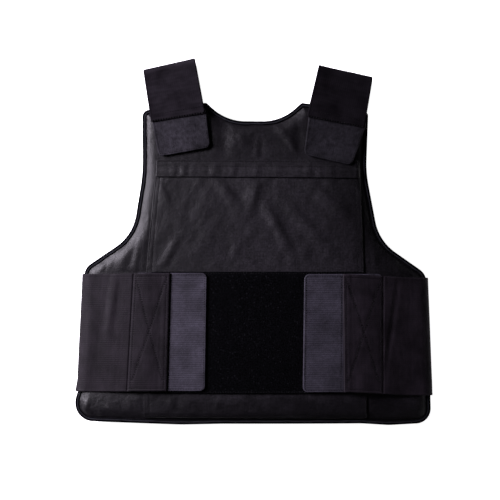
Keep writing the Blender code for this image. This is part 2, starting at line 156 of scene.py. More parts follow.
# Folds of the cloth, in millimetres and degrees from +X: a ridge, or a valley where rise is below
# zero, along a line. A lean above 0 makes the left flank of the line wider than the right one.
Fold = namedtuple("Fold", "x y angle length width rise lean", defaults=(0,))
PANEL_FOLDS = [
    Fold(4, 118, 88, 54, 6, 0.8),
    Fold(46, 127, 128, 65, 7, 1.0),
    Fold(-39, 134, 92, 80, 15, -1.6),
    Fold(60, 134, 95, 67, 13, -1.4),
    Fold(-15, 132, 99, 39, 8, 0.5),
    Fold(-148, -17, 78, 69, 7, 0.9),
    Fold(-140, -13, 84, 77, 5, 0.55),
    Fold(-166, -20, 74, 65, 10, 1.1),
    Fold(-133, 25, 85, 56, 4, 0.45),
    Fold(-134, 130, 86, 64, 5, 0.5),
    Fold(-194, -35, 75, 25, 6, 0.8),
    Fold(153, -17, 100, 65, 6, 0.9),
    Fold(183, -33, 118, 34, 6, 0.8),
    Fold(-193, -223, 140, 25, 4, 1.2),
    Fold(-180, -216, 146, 35, 4, 0.9),
    Fold(-214, -210, 79, 33, 6, 0.8),
]
POCKET_FOLDS = [
    Fold(0, 58, 80, 65, 12, 1.6, 0.25),
    Fold(-35, 64, 131, 68, 10, 1.3, 0.2),
    Fold(32, 14, 118, 112, 10, 1.9, 0.1),
    Fold(72, 16, 134, 129, 11, 1.8, 0.1),
    Fold(95, 52, 139, 111, 12, 1.5, 0.1),
    Fold(-107, -14, 62, 69, 8, 1.1),
    Fold(-114, 62, 110, 51, 9, 0.8, 0.3),
    Fold(-66, -4, 59, 86, 13, 0.6),
    Fold(-23, -13, 76, 53, 9, 0.8),
]
HEM_FOLDS = [
    Fold(-104, -207, 108, 20, 7, 0.7),
    Fold(-45, -205, 113, 21, 7, 0.6),
    Fold(53, -207, 122, 30, 8, 0.5),
    Fold(101, -208, 113, 24, 8, 0.5),
]
BAND_FOLDS = [
    Fold(-181, -83, 83, 124, 8, 1.15),
    Fold(-206, -119, 87, 140, 10, 0.6),
    Fold(175, -108, 82, 168, 5, -0.8),
    Fold(206, -119, 95, 112, 9, 0.3),
]
FLAP_FOLDS = [
    Fold(-102, 92, 88, 30, 7, 0.5),
    Fold(-89, 92, 95, 30, 6, 0.55),
    Fold(-77, 92, 88, 30, 6, 0.55),
    Fold(-50, 92, 90, 30, 9, 0.85),
    Fold(-26, 92, 86, 30, 7, 0.5),
    Fold(3, 92, 90, 34, 9, 0.8),
    Fold(30, 92, 90, 30, 8, 0.4),
    Fold(66, 92, 84, 30, 9, 0.6),
    Fold(96, 92, 96, 30, 9, 0.4),
]

# Random waves of a cloth: their height, their length along the angle and their width across it, in
# millimetres and degrees
Crease = namedtuple("Crease", "height length width angle seed")
PANEL_CREASES = [Crease(0.20, 34, 14, 75, 3), Crease(0.05, 14, 6, 105, 4)]
POCKET_CREASES = [
    Crease(0.28, 46, 12, 118, 11),
    Crease(0.22, 30, 9, 60, 12),
    Crease(0.10, 11, 5, 80, 13),
]
POCKET_PUCKER = Crease(0.10, 16, 4.2, 0, 14)
FLAP_GATHER = Crease(0.22, 22, 7, 90, 21)
FIELD_WAVES = Crease(0.2, 12, 9, 30, 31)
SIDE_TAB_WAVES = Crease(0.30, 60, 22, 90, 41)
BAND_GATHERS = Crease(0.06, 4, 30, 0, 51)
BAND_WAVES = Crease(0.20, 22, 50, 0, 53)
SHOULDER_TAB_WAVES = Crease(0.35, 30, 14, 35, 61)
STRAP_GATHERS = Crease(0.07, 3, 24, 0, 71)
STRAP_WAVES = Crease(0.25, 24, 30, 20, 73)

# Raised line beside a cut edge, in millimetres: its height, how far in it runs and its width
Rim = namedtuple("Rim", "height place width")
SIDE_TAB_RIM = Rim(0.25, 1.0, 0.6)
SHOULDER_TAB_RIM = Rim(0.12, 1.0, 0.6)
BAND_SELVEDGE = Rim(0.15, 1.6, 0.8)
STRAP_SELVEDGE = Rim(0.22, 1.4, 0.7)

# Heights of the ribs of tabs and bands, and how far in from an edge the rows of stitches run
SIDE_TAB_RIB = 0.15 * MM
SHOULDER_TAB_RIB = 0.04 * MM
BAND_CORD = 0.10 * MM
TAB_ROW = 2.6 * MM
FLAP_ROWS = (1.8 * MM, 8 * MM)
FIELD_ROW = 2 * MM

# Single loops of yarn on the field, and the stretch across it that shows between the tabs
YARN_RADIUS = 0.16 * MM
YARN_REACH = 0.55 * MM
YARN_HEIGHT = 0.55 * MM
YARN_SPACING = 2.1 * MM
FIELD_SHOWS = (68 * MM, 200 * MM)


class VestCloth(bpy.types.PropertyGroup):
    """Colours of the cloths and how they are woven."""

    carrier: bpy.props.FloatVectorProperty(
        name="Carrier", description="Woven nylon of the panels and the pocket", subtype="COLOR",
        size=4, min=0, max=1, default=(0.0056, 0.0049, 0.0062, 1))
    tape: bpy.props.FloatVectorProperty(
        name="Edge Tape", description="Ribbed tape folded over the panels' edges", subtype="COLOR",
        size=4, min=0, max=1, default=(0.0009, 0.0009, 0.0011, 1))
    loop: bpy.props.FloatVectorProperty(
        name="Loop Pile", description="Pile that the hook tabs grip", subtype="COLOR",
        size=4, min=0, max=1, default=(0.0015, 0.0015, 0.0018, 1))
    hook: bpy.props.FloatVectorProperty(
        name="Side Hook Tab", description="Ribbed backing of the side hook tabs", subtype="COLOR",
        size=4, min=0, max=1, default=(0.0176, 0.0160, 0.0220, 1))
    # The shoulder tabs' backing is the same tape as the side tabs', painted darker as shade
    shoulder_hook: bpy.props.FloatVectorProperty(
        name="Shoulder Hook Tab", description="Backing of the shoulder hook tabs", subtype="COLOR",
        size=4, min=0, max=1, default=(0.0092, 0.0085, 0.0106, 1))
    elastic: bpy.props.FloatVectorProperty(
        name="Side Elastic", description="Wide elastic of the side bands", subtype="COLOR",
        size=4, min=0, max=1, default=(0.0060, 0.0047, 0.0063, 1))
    shoulder_elastic: bpy.props.FloatVectorProperty(
        name="Shoulder Elastic", description="Elastic of the shoulder straps", subtype="COLOR",
        size=4, min=0, max=1, default=(0.0050, 0.0043, 0.0054, 1))
    thread: bpy.props.FloatVectorProperty(
        name="Thread", description="Sewing thread", subtype="COLOR",
        size=4, min=0, max=1, default=(0.0014, 0.0013, 0.0016, 1))
    weave_pitch: bpy.props.FloatProperty(
        name="Weave Pitch", description="Distance between neighbouring yarns", unit="LENGTH",
        min=0.0002, max=0.003, default=0.0007, precision=5)
    rib_pitch: bpy.props.FloatProperty(
        name="Rib Pitch", description="Distance between the hook tabs' ribs", unit="LENGTH",
        min=0.001, max=0.01, default=0.0028, precision=4)


class VestSewing(bpy.types.PropertyGroup):
    """Sizes of the stitches and how fine the cloth's mesh is."""

    stitch_pitch: bpy.props.FloatProperty(
        name="Stitch Pitch", description="Distance from one stitch to the next", unit="LENGTH",
        min=0.001, max=0.01, default=0.0032, precision=4)
    stitch_length: bpy.props.FloatProperty(
        name="Stitch Length", description="Length of thread that shows", unit="LENGTH",
        min=0.0005, max=0.01, default=0.0024, precision=4)
    thread_width: bpy.props.FloatProperty(
        name="Thread Width", description="Thickness of the sewing thread", unit="LENGTH",
        min=0.0001, max=0.002, default=0.0006, precision=4)
    cloth_step: bpy.props.FloatProperty(
        name="Cloth Step", description="Distance between points of the cloth", unit="LENGTH",
        min=0.001, max=0.02, default=0.0024, precision=4)
    fold_strength: bpy.props.FloatProperty(
        name="Fold Strength", description="How high the folds stand", subtype="FACTOR",
        min=0, max=2, default=1.0)


class VestStage(bpy.types.PropertyGroup):
    """Floor, lights and camera."""

    floor: bpy.props.FloatVectorProperty(
        name="Floor", description="Colour of the floor", subtype="COLOR",
        size=4, min=0, max=1, default=(0.93, 0.93, 0.93, 1))
    floor_glow: bpy.props.FloatProperty(
        name="Floor Glow", description="How brightly the floor is lit from below", subtype="FACTOR",
        min=0, max=2, default=1.075)
    light: bpy.props.FloatVectorProperty(
        name="Light", description="Colour of the lights", subtype="COLOR",
        size=3, min=0, max=1, default=(0.94, 0.88, 1.0))
    key_power: bpy.props.FloatProperty(
        name="Key Power", description="Power of the large light at the left", unit="POWER",
        min=0, max=5000, default=455)
    fill_power: bpy.props.FloatProperty(
        name="Fill Power", description="Power of the weak light at the right", unit="POWER",
        min=0, max=5000, default=6)
    view_width: bpy.props.FloatProperty(
        name="View Width", description="Width of the picture where the vest lies", unit="LENGTH",
        min=0.1, max=5, default=0.6385, precision=4)
    camera_height: bpy.props.FloatProperty(
        name="Camera Height", description="Height of the camera above the vest", unit="LENGTH",
        min=0.5, max=20, default=4.0)


def smooth(low, high, value):
    """0 below low, 1 above high, and an even S curve between."""
    t = np.clip((value - low) / (high - low), 0.0, 1.0)
    return t * t * (3 - 2 * t)


# Outline of the panels


def edge_normals(corners):
    """Inward unit normal of the edge that leaves each corner of a counter-clockwise polygon."""
    normals = []
    for here, ahead in zip(corners, corners[1:] + corners[:1]):
        along = Vector((ahead.x - here.x, ahead.y - here.y)).normalized()
        normals.append(Vector((-along.y, along.x)))
    return normals


def inset_corners(corners, inset):
    """The same polygon with every edge moved in by inset millimetres, its arcs kept parallel."""
    normals = edge_normals(corners)
    moved = []
    for i, corner in enumerate(corners):
        before, after = normals[i - 1], normals[i]
        shift = (before + after) * (inset / (1 + before.dot(after)))
        convex = before.x * after.y - before.y * after.x > 0
        radius = max(0.4, corner.radius - inset) if convex else corner.radius + inset
        moved.append(Corner(corner.name, corner.x + shift.x, corner.y + shift.y, radius))
    return moved


def arc_ends(corners):
    """For each corner: its arc's centre, radius, first angle and turn."""
    arcs = []
    normals = edge_normals(corners)
    for i, corner in enumerate(corners):
        before, after = normals[i - 1], normals[i]
        turn = math.atan2(before.x * after.y - before.y * after.x, before.dot(after))
        inward = (before + after) / (1 + before.dot(after))
        side = 1 if turn > 0 else -1
        centre = Vector((corner.x, corner.y)) + inward * (corner.radius * side)
        first = math.atan2(-before.y * side, -before.x * side)
        arcs.append((centre, corner.radius, first, turn))
    return arcs


def arc_point(arc, share):
    centre, radius, first, turn = arc
    angle = first + turn * share
    return centre + Vector((math.cos(angle), math.sin(angle))) * radius


def ring(corners, inset, step):
    """Points of the rounded outline moved in by inset metres, about step metres apart.

    Every inset of one outline has the same number of points, so that rings join up.
    """
    base = arc_ends(corners)
    moved = arc_ends(inset_corners(corners, inset / MM))
    points = []
    for i, arc in enumerate(moved):
        turn = abs(arc[3])
        steps = max(1, round(base[i][1] * turn * MM / step), round(turn / math.radians(15)))
        points += [arc_point(arc, k / steps) for k in range(steps + 1)]
        ahead = (i + 1) % len(moved)
        length = (arc_point(base[i], 1) - arc_point(base[ahead], 0)).length * MM
        gaps = max(1, round(length / step))
        start, end = points[-1], arc_point(moved[ahead], 0)
        points += [start.lerp(end, k / gaps) for k in range(1, gaps)]
    return np.array([tuple(p) for p in points]) * MM


def depth_inside(outline, x, y):
    """Distance in metres from each (x, y) to a closed outline, below 0 outside it."""
    flat = np.column_stack([np.ravel(x), np.ravel(y)])
    along = np.roll(outline, -1, axis=0) - outline
    length = np.maximum((along**2).sum(1), 1e-12)
    rise = np.where(np.abs(along[:, 1]) < 1e-12, 1e-12, along[:, 1])
    found = []
    for start in range(0, len(flat), 4000):
        here = flat[start:start + 4000, None, :]
        away = here - outline
        share = np.clip((away * along).sum(2) / length, 0, 1)
        nearest = np.sqrt(((away - share[:, :, None] * along) ** 2).sum(2)).min(1)
        above = outline[:, 1] > here[:, :, 1]
        crossing = above != np.roll(above, -1, axis=1)
        meets = outline[:, 0] + (here[:, :, 1] - outline[:, 1]) / rise * along[:, 0]
        inside = (crossing & (here[:, :, 0] < meets)).sum(1) % 2 == 1
        found.append(np.where(inside, nearest, -nearest))
    return np.concatenate(found).reshape(np.shape(x))


FRONT_EDGE = ring(OUTLINE, 0.0, 12 * MM)
BACK_OUTLINE = inset_corners(OUTLINE, BACK_INSET / MM)


def edge_x(y, side):
    """How far out the outline's edge lies on one side at height y."""
    a, b = FRONT_EDGE, np.roll(FRONT_EDGE, -1, axis=0)
    crossing = (a[:, 1] > y) != (b[:, 1] > y)
    a, b = a[crossing], b[crossing]
    return max(side * (a[:, 0] + (y - a[:, 1]) / (b[:, 1] - a[:, 1]) * (b[:, 0] - a[:, 0])))


# Heights of the layers, one on another


def half_swell(inset):
    """Half of a panel's thickness at a distance in from its cut edge: flange, then padding."""
    flat, full = FLANGE_THICKNESS / 2, PANEL_THICKNESS / 2
    t = np.clip((inset - FLANGE_END) / (SWELL_END - FLANGE_END), 0, 1)
    return flat + (full - flat) * (1 - (1 - t) ** 2.3)


def back_bottom(x, y):
    """Underside of the back panel: flat on the floor, lifted where straps pass below it."""
    return BACK_LIFT * np.maximum(smooth(0.108, 0.148, np.abs(x)), smooth(0.045, 0.08, y))


def back_mid(x, y):
    return back_bottom(x, y) + PANEL_THICKNESS / 2


def front_mid(x, y):
    """Middle of the front panel: an arch from side to side that droops at shoulders and hem."""
    arch = np.maximum(0.0, 1 - (np.abs(x) / HALF_WIDTH) ** BOW_POWER)
    droop = SHOULDER_DROOP * smooth(0.0, 0.19, y) + HEM_DROOP * smooth(0.13, 0.24, -y)
    return FRONT_EDGE_MID + FRONT_BOW * arch * (1 - droop)


def front_body(x, y):
    """The front panel's outer face without its rounded edge."""
    return front_mid(x, y) + PANEL_THICKNESS / 2


def layer_base(x, y):
    """What the sewn-on layers lie on: the front panel, its rounded edge bridged by a ramp."""
    flat, full = FLANGE_THICKNESS / 2, PANEL_THICKNESS / 2
    ramp = (depth_inside(FRONT_EDGE, x, y) - FLANGE_END) / (LAYER_RAMP_END - FLANGE_END)
    return front_mid(x, y) + flat + (full - flat) * np.clip(ramp, 0, 1)


def fold_height(folds, x, y):
    """Sum of the folds at (x, y): each is a smooth ridge, or a valley, along its own line."""
    total = np.zeros(np.shape(x))
    for fold in folds:
        angle = math.radians(fold.angle)
        dx, dy = x / MM - fold.x, y / MM - fold.y
        along = (dx * math.cos(angle) + dy * math.sin(angle)) / (fold.length / 2)
        across = (dy * math.cos(angle) - dx * math.sin(angle)) / fold.width
        across = across / (1 + fold.lean * np.sign(across))
        inside = (np.abs(along) < 1) & (np.abs(across) < 1)
        shape = (1 - along**2) ** 2 * (1 - across**2) ** 2
        total += np.where(inside, fold.rise * MM * shape, 0)
    return total


def crumple(crease, x, y, waves=0):
    """Even random waves of a crease at (x, y), where another number of waves gives other ones."""
    turn = math.radians(crease.angle)
    along = (x * math.cos(turn) + y * math.sin(turn)) / (crease.length * MM)
    across = (y * math.cos(turn) - x * math.sin(turn)) / (crease.width * MM)
    lattice = np.random.default_rng(crease.seed + waves).uniform(-1, 1, (64, 64))
    i, j = np.floor(along).astype(int), np.floor(across).astype(int)
    s, t = smooth(0, 1, along - i), smooth(0, 1, across - j)
    i, j = i % 64, j % 64
    near = lattice[i, j] * (1 - t) + lattice[i, (j + 1) % 64] * t
    far = lattice[(i + 1) % 64, j] * (1 - t) + lattice[(i + 1) % 64, (j + 1) % 64] * t
    return crease.height * MM * (near * (1 - s) + far * s)


def hump(distance, height, width):
    """A smooth hump of a height, in metres, that fades over a width on both sides."""
    return height * np.exp(-((distance / width) ** 2))


def rim_height(rim, edge):
    return hump(edge - rim.place * MM, rim.height * MM, rim.width * MM)


# Closed meshes from grids of points


def add_piece(name, points, face_lists, uv, finish):
    """A smooth closed mesh, its faces turned outwards, with plan coordinates in metres as UVs."""
    points = np.asarray(points)
    volume = 0.0
    for faces in face_lists:
        corners = points[faces]
        for k in range(1, faces.shape[1] - 1):
            crossed = np.cross(corners[:, k], corners[:, k + 1])
            volume += (corners[:, 0] * crossed).sum()
    step = 1 if volume > 0 else -1
    listed = [face for faces in face_lists for face in faces[:, ::step].tolist()]
    mesh = bpy.data.meshes.new(name)
    mesh.from_pydata(points.tolist(), [], listed)
    used = np.empty(len(mesh.loops), np.int32)
    mesh.loops.foreach_get("vertex_index", used)
    layer = mesh.uv_layers.new(name="Cloth")
    layer.data.foreach_set("uv", np.asarray(uv, np.float32)[used].ravel())
    mesh.materials.append(finished(finish))
    mesh.shade_smooth()
    mesh.validate()
    piece = bpy.data.objects.new(name, mesh)
    bpy.context.scene.collection.objects.link(piece)
    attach(piece, "root")
    return piece


def grid_faces(rows, columns, start=0):
    """Quads of a grid of rows by columns whose first point has the index start."""
    i, j = np.meshgrid(np.arange(rows - 1), np.arange(columns - 1), indexing="ij")
    a = (start + i * columns + j).ravel()
    return np.column_stack([a, a + 1, a + columns + 1, a + columns])


def grid_border(rows, columns):
    """Indices round the border of a grid, in order."""
    first = list(range(columns))
    right = [i * columns + columns - 1 for i in range(1, rows)]
    last = [(rows - 1) * columns + j for j in range(columns - 2, -1, -1)]
    left = [i * columns for i in range(rows - 2, 0, -1)]
    return np.array(first + right + last + left)


Surface = namedtuple("Surface", "points normals u v")


def thick_sheet(name, base, normals, low, high, u, v, finish, turned=False):
    """A closed sheet over a grid of base points, between two offsets along the normals.

    u and v are the grid's own distances in metres, swapped as UVs where the cloth is turned.
    Gives the piece and its outer face.
    """
    rows, columns = base.shape[:2]
    outer = base + normals * high[:, :, None]
    inner = base + normals * low[:, :, None]
    size = rows * columns
    top = grid_faces(rows, columns)
    under = grid_faces(rows, columns, size)[:, ::-1]
    border = grid_border(rows, columns)
    ahead = np.roll(border, -1)
    rim = np.column_stack([ahead, border, border + size, ahead + size])
    points = np.concatenate([outer.reshape(-1, 3), inner.reshape(-1, 3)])
    along, across = np.meshgrid(u, v, indexing="ij")
    plan = np.column_stack([along.ravel(), across.ravel()])
    if turned:
        plan = plan[:, ::-1]
    piece = add_piece(name, points, [top, under, rim], np.tile(plan, (2, 1)), finish)
    return piece, Surface(outer, normals, u, v)


def sample(surface, u, v, lift):
    """Points at distances (u, v) on a surface, lifted off it, and the normals there."""
    i = np.interp(u, surface.u, np.arange(len(surface.u)))
    j = np.interp(v, surface.v, np.arange(len(surface.v)))
    i0 = np.minimum(i.astype(int), len(surface.u) - 2)
    j0 = np.minimum(j.astype(int), len(surface.v) - 2)
    s, t = (i - i0)[..., None], (j - j0)[..., None]

    def mix(grid):
        near = grid[i0, j0] * (1 - t) + grid[i0, j0 + 1] * t
        far = grid[i0 + 1, j0] * (1 - t) + grid[i0 + 1, j0 + 1] * t
        return near * (1 - s) + far * s

    normals = mix(surface.normals)
    normals /= np.linalg.norm(normals, axis=-1, keepdims=True)
    return mix(surface.points) + normals * np.asarray(lift)[..., None], normals


def lines(length, step, extra=()):
    """Distances from 0 to length for a grid: close at both ends and at the extra places."""
    fine = [0.2 * MM, 0.5 * MM, 1.0 * MM, 1.8 * MM]
    wanted = [0.0, length]
    for place in fine:
        wanted += [place, length - place]
    for place in extra:
        wanted += [place - 0.9 * MM, place - 0.4 * MM, place, place + 0.4 * MM, place + 0.9 * MM]
    even = np.arange(step, length - 0.5 * step, step)
    close = np.abs(even[:, None] - np.array(wanted)).min(1) < 0.45 * step
    placed = sorted(p for p in [*wanted, *even[~close]] if 0 <= p <= length)
    kept = [placed[0]]
    for place in placed[1:-1]:
        if place - kept[-1] > 0.15 * MM and length - place > 0.15 * MM:
            kept.append(place)
    return np.array([*kept, placed[-1]])


def round_over(edge, thickness):
    """How much a sheet's face drops towards its middle at a distance from its cut edge."""
    radius = 0.42 * thickness
    near = np.clip(1 - edge / radius, 0, 1)
    return radius * (1 - np.sqrt(1 - near**2))


def rounded_plan(corners, u, v, width, length, radius):
    """Plan points of a sheet over four corners in millimetres, its corners rounded.

    u runs along the length and v across the width. Gives x, y and the distance to the edge.
    """
    along, across = np.meshgrid(u, v, indexing="ij")
    from_end = np.minimum(along, length - along)
    from_side = np.minimum(across, width - across)
    a = np.clip(1 - from_end / radius, 0, 1)
    b = np.clip(1 - from_side / radius, 0, 1)
    bent_a, bent_b = a * np.sqrt(1 - b**2 / 2), b * np.sqrt(1 - a**2 / 2)
    along = along + np.where(along < length / 2, 1, -1) * (a - bent_a) * radius
    across = across + np.where(across < width / 2, 1, -1) * (b - bent_b) * radius
    corner = (a > 0) & (b > 0)
    edge = np.where(corner, radius * (1 - np.hypot(bent_a, bent_b)), np.minimum(from_end, from_side))
    p, q, r, s = (np.array(c) * MM for c in corners)
    share, side = along / length, across / width
    low = p + (q - p) * side[..., None]
    high = s + (r - s) * side[..., None]
    plan = low + (high - low) * share[..., None]
    return plan[..., 0], plan[..., 1], edge


def laid_sheet(name, corners, height, thickness, finish, radius=2 * MM, step=None,
               across_step=None, seams=(), detail=None, bow=(0.0, 0.0), turned=False):
    """A sheet laid on a height, over four corners in millimetres, with seams along its sides.

    Its left and right sides are bowed outwards by the two bows half way up.
    """
    step = step or bpy.context.scene.vest_sewing.cloth_step
    p, q, r, s = (np.array(c) * MM for c in corners)
    width = (np.linalg.norm(q - p) + np.linalg.norm(r - s)) / 2
    length = (np.linalg.norm(s - p) + np.linalg.norm(r - q)) / 2
    both_sides = [*seams, *(width - seam for seam in seams)]
    u = lines(length, step)
    v = lines(width, across_step or step, both_sides)
    x, y, edge = rounded_plan(corners, u, v, width, length, radius)
    out = bow[1] * v / width - bow[0] * (1 - v / width)
    x = x + np.sin(math.pi * u / length)[:, None] * out
    base = height(x, y)
    drop = round_over(edge, thickness)
    extra = detail(x, y, *np.meshgrid(u, v, indexing="ij"), edge) if detail else 0.0
    grid = np.stack([x, y, base], axis=-1)
    up = np.zeros_like(grid)
    up[..., 2] = 1.0
    fade = smooth(0, 1.5 * MM, edge)
    piece, surface = thick_sheet(
        name, grid, up, drop, thickness - drop + extra * fade, u, v, finish, turned)
    normals = grid_normals(surface.points)
    return piece, surface._replace(normals=normals), (width, length)


def grid_normals(points):
    """Unit normals of a grid of points, upwards where u runs up the sheet and v to the right."""
    along = np.gradient(points, axis=0)
    across = np.gradient(points, axis=1)
    crossed = np.cross(across, along)
    return crossed / np.maximum(np.linalg.norm(crossed, axis=-1, keepdims=True), 1e-12)


# Stitches along paths on a cloth

STITCH_SIDES = 5
STITCH_PLACES = np.array([-0.5, -0.28, 0.28, 0.5])
STITCH_GIRTH = np.array([0.35, 1.0, 1.0, 0.35])
STITCH_RISE = np.array([-1.1, 0.25, 0.25, -1.1])


def path_stations(path, closed=False):
    """Distances along a path at which each stitch has its four stations, and the path's points."""
    sewing = bpy.context.scene.vest_sewing
    path = np.asarray(path, float)
    if closed:
        path = np.vstack([path, path[:1]])
    lengths = np.linalg.norm(np.diff(path, axis=0), axis=1)
    reached = np.concatenate([[0], np.cumsum(lengths)])
    count = max(1, int(reached[-1] / sewing.stitch_pitch))
    middles = (np.arange(count) + 0.5) * reached[-1] / count
    places = middles[:, None] + STITCH_PLACES * sewing.stitch_length
    return np.stack([np.interp(places, reached, path[:, k]) for k in range(path.shape[1])], axis=-1)


def stitch_points(centres, normals):
    """Rings of points for stitches whose four stations are given, with the normals there."""
    radius = bpy.context.scene.vest_sewing.thread_width / 2
    run = centres[:, -1] - centres[:, 0]
    run = run / np.maximum(np.linalg.norm(run, axis=-1, keepdims=True), 1e-12)
    side = np.cross(normals, run[:, None, :])
    angles = np.arange(STITCH_SIDES) * 2 * math.pi / STITCH_SIDES
    round_up = normals[:, :, None, :] * np.cos(angles)[:, None]
    round_out = side[:, :, None, :] * np.sin(angles)[:, None]
    girth = (radius * STITCH_GIRTH)[None, :, None, None]
    lift = (radius * STITCH_RISE)[None, :, None, None]
    return centres[:, :, None, :] + normals[:, :, None, :] * lift + (round_up + round_out) * girth


def add_tubes(name, points, finish):
    """One piece from the rings of points of many tubes, each closed at both ends."""
    count, stations, sides = points.shape[:3]
    k, i = np.meshgrid(np.arange(stations - 1) * sides, np.arange(sides), indexing="ij")
    ahead = (i + 1) % sides
    quad = np.stack([k + i, k + ahead, k + sides + ahead, k + sides + i], -1).reshape(-1, 4)
    caps = np.stack([np.arange(sides)[::-1], (stations - 1) * sides + np.arange(sides)])
    starts = np.arange(count)[:, None, None] * stations * sides
    quads = (starts + quad).reshape(-1, 4)
    ends = (starts + caps).reshape(-1, sides)
    flat = points.reshape(-1, 3)
    return add_piece(name, flat, [quads, ends], flat[:, :2], finish)


def add_stitches(name, stitches):
    """One piece of thread from the rings of points of many stitches."""
    return add_tubes(name, np.concatenate(stitches), "thread")


def sew(surface, *runs):
    """Stitches along runs of (u, v) distances on a surface."""
    sewn = []
    for run in runs:
        stations = path_stations(run)
        centres, normals = sample(surface, stations[..., 0], stations[..., 1], 0.0)
        sewn.append(stitch_points(centres, normals))
    return sewn


def box_run(u0, u1, v0, v1):
    return [(u0, v0), (u1, v0), (u1, v1), (u0, v1), (u0, v0)]


# Shader groups and materials


def new_group(name, outputs, **values):
    """A shader node group that takes a vector and values, and its input and output nodes."""
    tree = bpy.data.node_groups.new(name, "ShaderNodeTree")
    tree.interface.new_socket("Vector", in_out="INPUT", socket_type="NodeSocketVector")
    for title, default in values.items():
        socket = tree.interface.new_socket(title, in_out="INPUT", socket_type="NodeSocketFloat")
        socket.default_value = default
    for title in outputs:
        tree.interface.new_socket(title, in_out="OUTPUT", socket_type="NodeSocketFloat")
    return tree, tree.nodes.new("NodeGroupInput"), tree.nodes.new("NodeGroupOutput")


def put(tree, socket, value):
    """Feeds an input socket from another socket, or sets it to a value."""
    if isinstance(value, bpy.types.NodeSocket):
        tree.links.new(value, socket)
    elif value is not None:
        socket.default_value = value


def calc(tree, operation, a, b=None, c=None, clamp=False):
    """Output of a Math node."""
    node = tree.nodes.new("ShaderNodeMath")
    node.operation = operation
    node.use_clamp = clamp
    for socket, value in zip(node.inputs, (a, b, c)):
        put(tree, socket, value)
    return node.outputs[0]


def ranged(tree, value, low, high, to_low, to_high):
    """Output of a Map Range node that keeps within its range."""
    node = tree.nodes.new("ShaderNodeMapRange")
    for title, given in (("Value", value), ("From Min", low), ("From Max", high),
                         ("To Min", to_low), ("To Max", to_high)):
        put(tree, node.inputs[title], given)
    return node.outputs["Result"]


def noise(tree, vector, scale, detail=2.0, roughness=0.5):
    node = tree.nodes.new("ShaderNodeTexNoise")
    put(tree, node.inputs["Vector"], vector)
    put(tree, node.inputs["Scale"], scale)
    node.inputs["Detail"].default_value = detail
    node.inputs["Roughness"].default_value = roughness
    return node.outputs["Fac"]


def stretched(tree, vector, x, y, z=1.0):
    """A vector multiplied axis by axis."""
    node = tree.nodes.new("ShaderNodeVectorMath")
    node.operation = "MULTIPLY"
    put(tree, node.inputs[0], vector)
    node.inputs[1].default_value = (x, y, z)
    return node.outputs["Vector"]


def axes(tree, vector):
    """A vector's parts, by the names of their axes."""
    node = tree.nodes.new("ShaderNodeSeparateXYZ")
    put(tree, node.inputs[0], vector)
    return node.outputs


def weave_group():
    """Plain weave: yarns over and under each other, with uneven yarns and broken lines of shade."""
    tree, start, end = new_group(
        "Plain weave", ["Height", "Shade"], Pitch=0.0007, Unevenness=0.3)
    parts = axes(tree, start.outputs["Vector"])
    waver = noise(tree, start.outputs["Vector"], 160.0, 1.0)
    waver = calc(tree, "MULTIPLY", calc(tree, "SUBTRACT", waver, 0.5), start.outputs["Unevenness"])
    waves = []
    for axis in ("X", "Y"):
        turns = calc(tree, "DIVIDE", parts[axis], start.outputs["Pitch"])
        turns = calc(tree, "ADD", turns, waver)
        waves.append(calc(tree, "SINE", calc(tree, "MULTIPLY", turns, 2 * math.pi)))
    height = calc(tree, "MULTIPLY_ADD", calc(tree, "MULTIPLY", *waves), 0.5, 0.5)
    warp = noise(tree, stretched(tree, start.outputs["Vector"], 900, 60), 1.0)
    weft = noise(tree, stretched(tree, start.outputs["Vector"], 60, 900), 1.0)
    put(tree, end.inputs["Height"], height)
    put(tree, end.inputs["Shade"], calc(tree, "MULTIPLY", calc(tree, "ADD", warp, weft), 0.5))
    return tree


def rib_group():
    """Ribs along U: rounded cords side by side, a little uneven, and the grooves between them."""
    tree, start, end = new_group("Ribs", ["Height", "Groove"], Pitch=0.0012, Unevenness=0.2)
    waver = noise(tree, stretched(tree, start.outputs["Vector"], 40, 200), 1.0)
    waver = calc(tree, "MULTIPLY", calc(tree, "SUBTRACT", waver, 0.5), start.outputs["Unevenness"])
    place = axes(tree, start.outputs["Vector"])["Y"]
    turns = calc(tree, "DIVIDE", place, start.outputs["Pitch"])
    turns = calc(tree, "ADD", turns, waver)
    wave = calc(tree, "ABSOLUTE", calc(tree, "SINE", calc(tree, "MULTIPLY", turns, math.pi)))
    put(tree, end.inputs["Height"], calc(tree, "POWER", wave, 0.6))
    put(tree, end.inputs["Groove"], ranged(tree, wave, 0.0, 0.45, 1.0, 0.0))
    return tree


def mottle_group():
    """Cloudy variation from Low to High, as uneven dye and dusty, worn cloth give; on the hook tabs
    the broad clouds are a painted uneven sheen.
    """
    tree, start, end = new_group("Mottle", ["Value"], Scale=40.0, Low=0.0, High=1.0)
    cloud = noise(tree, start.outputs["Vector"], start.outputs["Scale"], 4.0, 0.6)
    value = ranged(tree, cloud, 0.3, 0.7, start.outputs["Low"], start.outputs["High"])
    put(tree, end.inputs["Value"], value)
    return tree


def lint_group():
    """Sparse small specks of lint, each with a soft edge."""
    tree, start, end = new_group("Lint", ["Mask"], Scale=300.0, Amount=0.2)
    cells = tree.nodes.new("ShaderNodeTexVoronoi")
    put(tree, cells.inputs["Vector"], start.outputs["Vector"])
    put(tree, cells.inputs["Scale"], start.outputs["Scale"])
    spot = ranged(tree, cells.outputs["Distance"], 0.1, 0.4, 1.0, 0.0)
    parts = tree.nodes.new("ShaderNodeSeparateColor")
    put(tree, parts.inputs[0], cells.outputs["Color"])
    chosen = calc(tree, "LESS_THAN", parts.outputs[0], start.outputs["Amount"])
    put(tree, end.inputs["Mask"], calc(tree, "MULTIPLY", spot, chosen))
    return tree


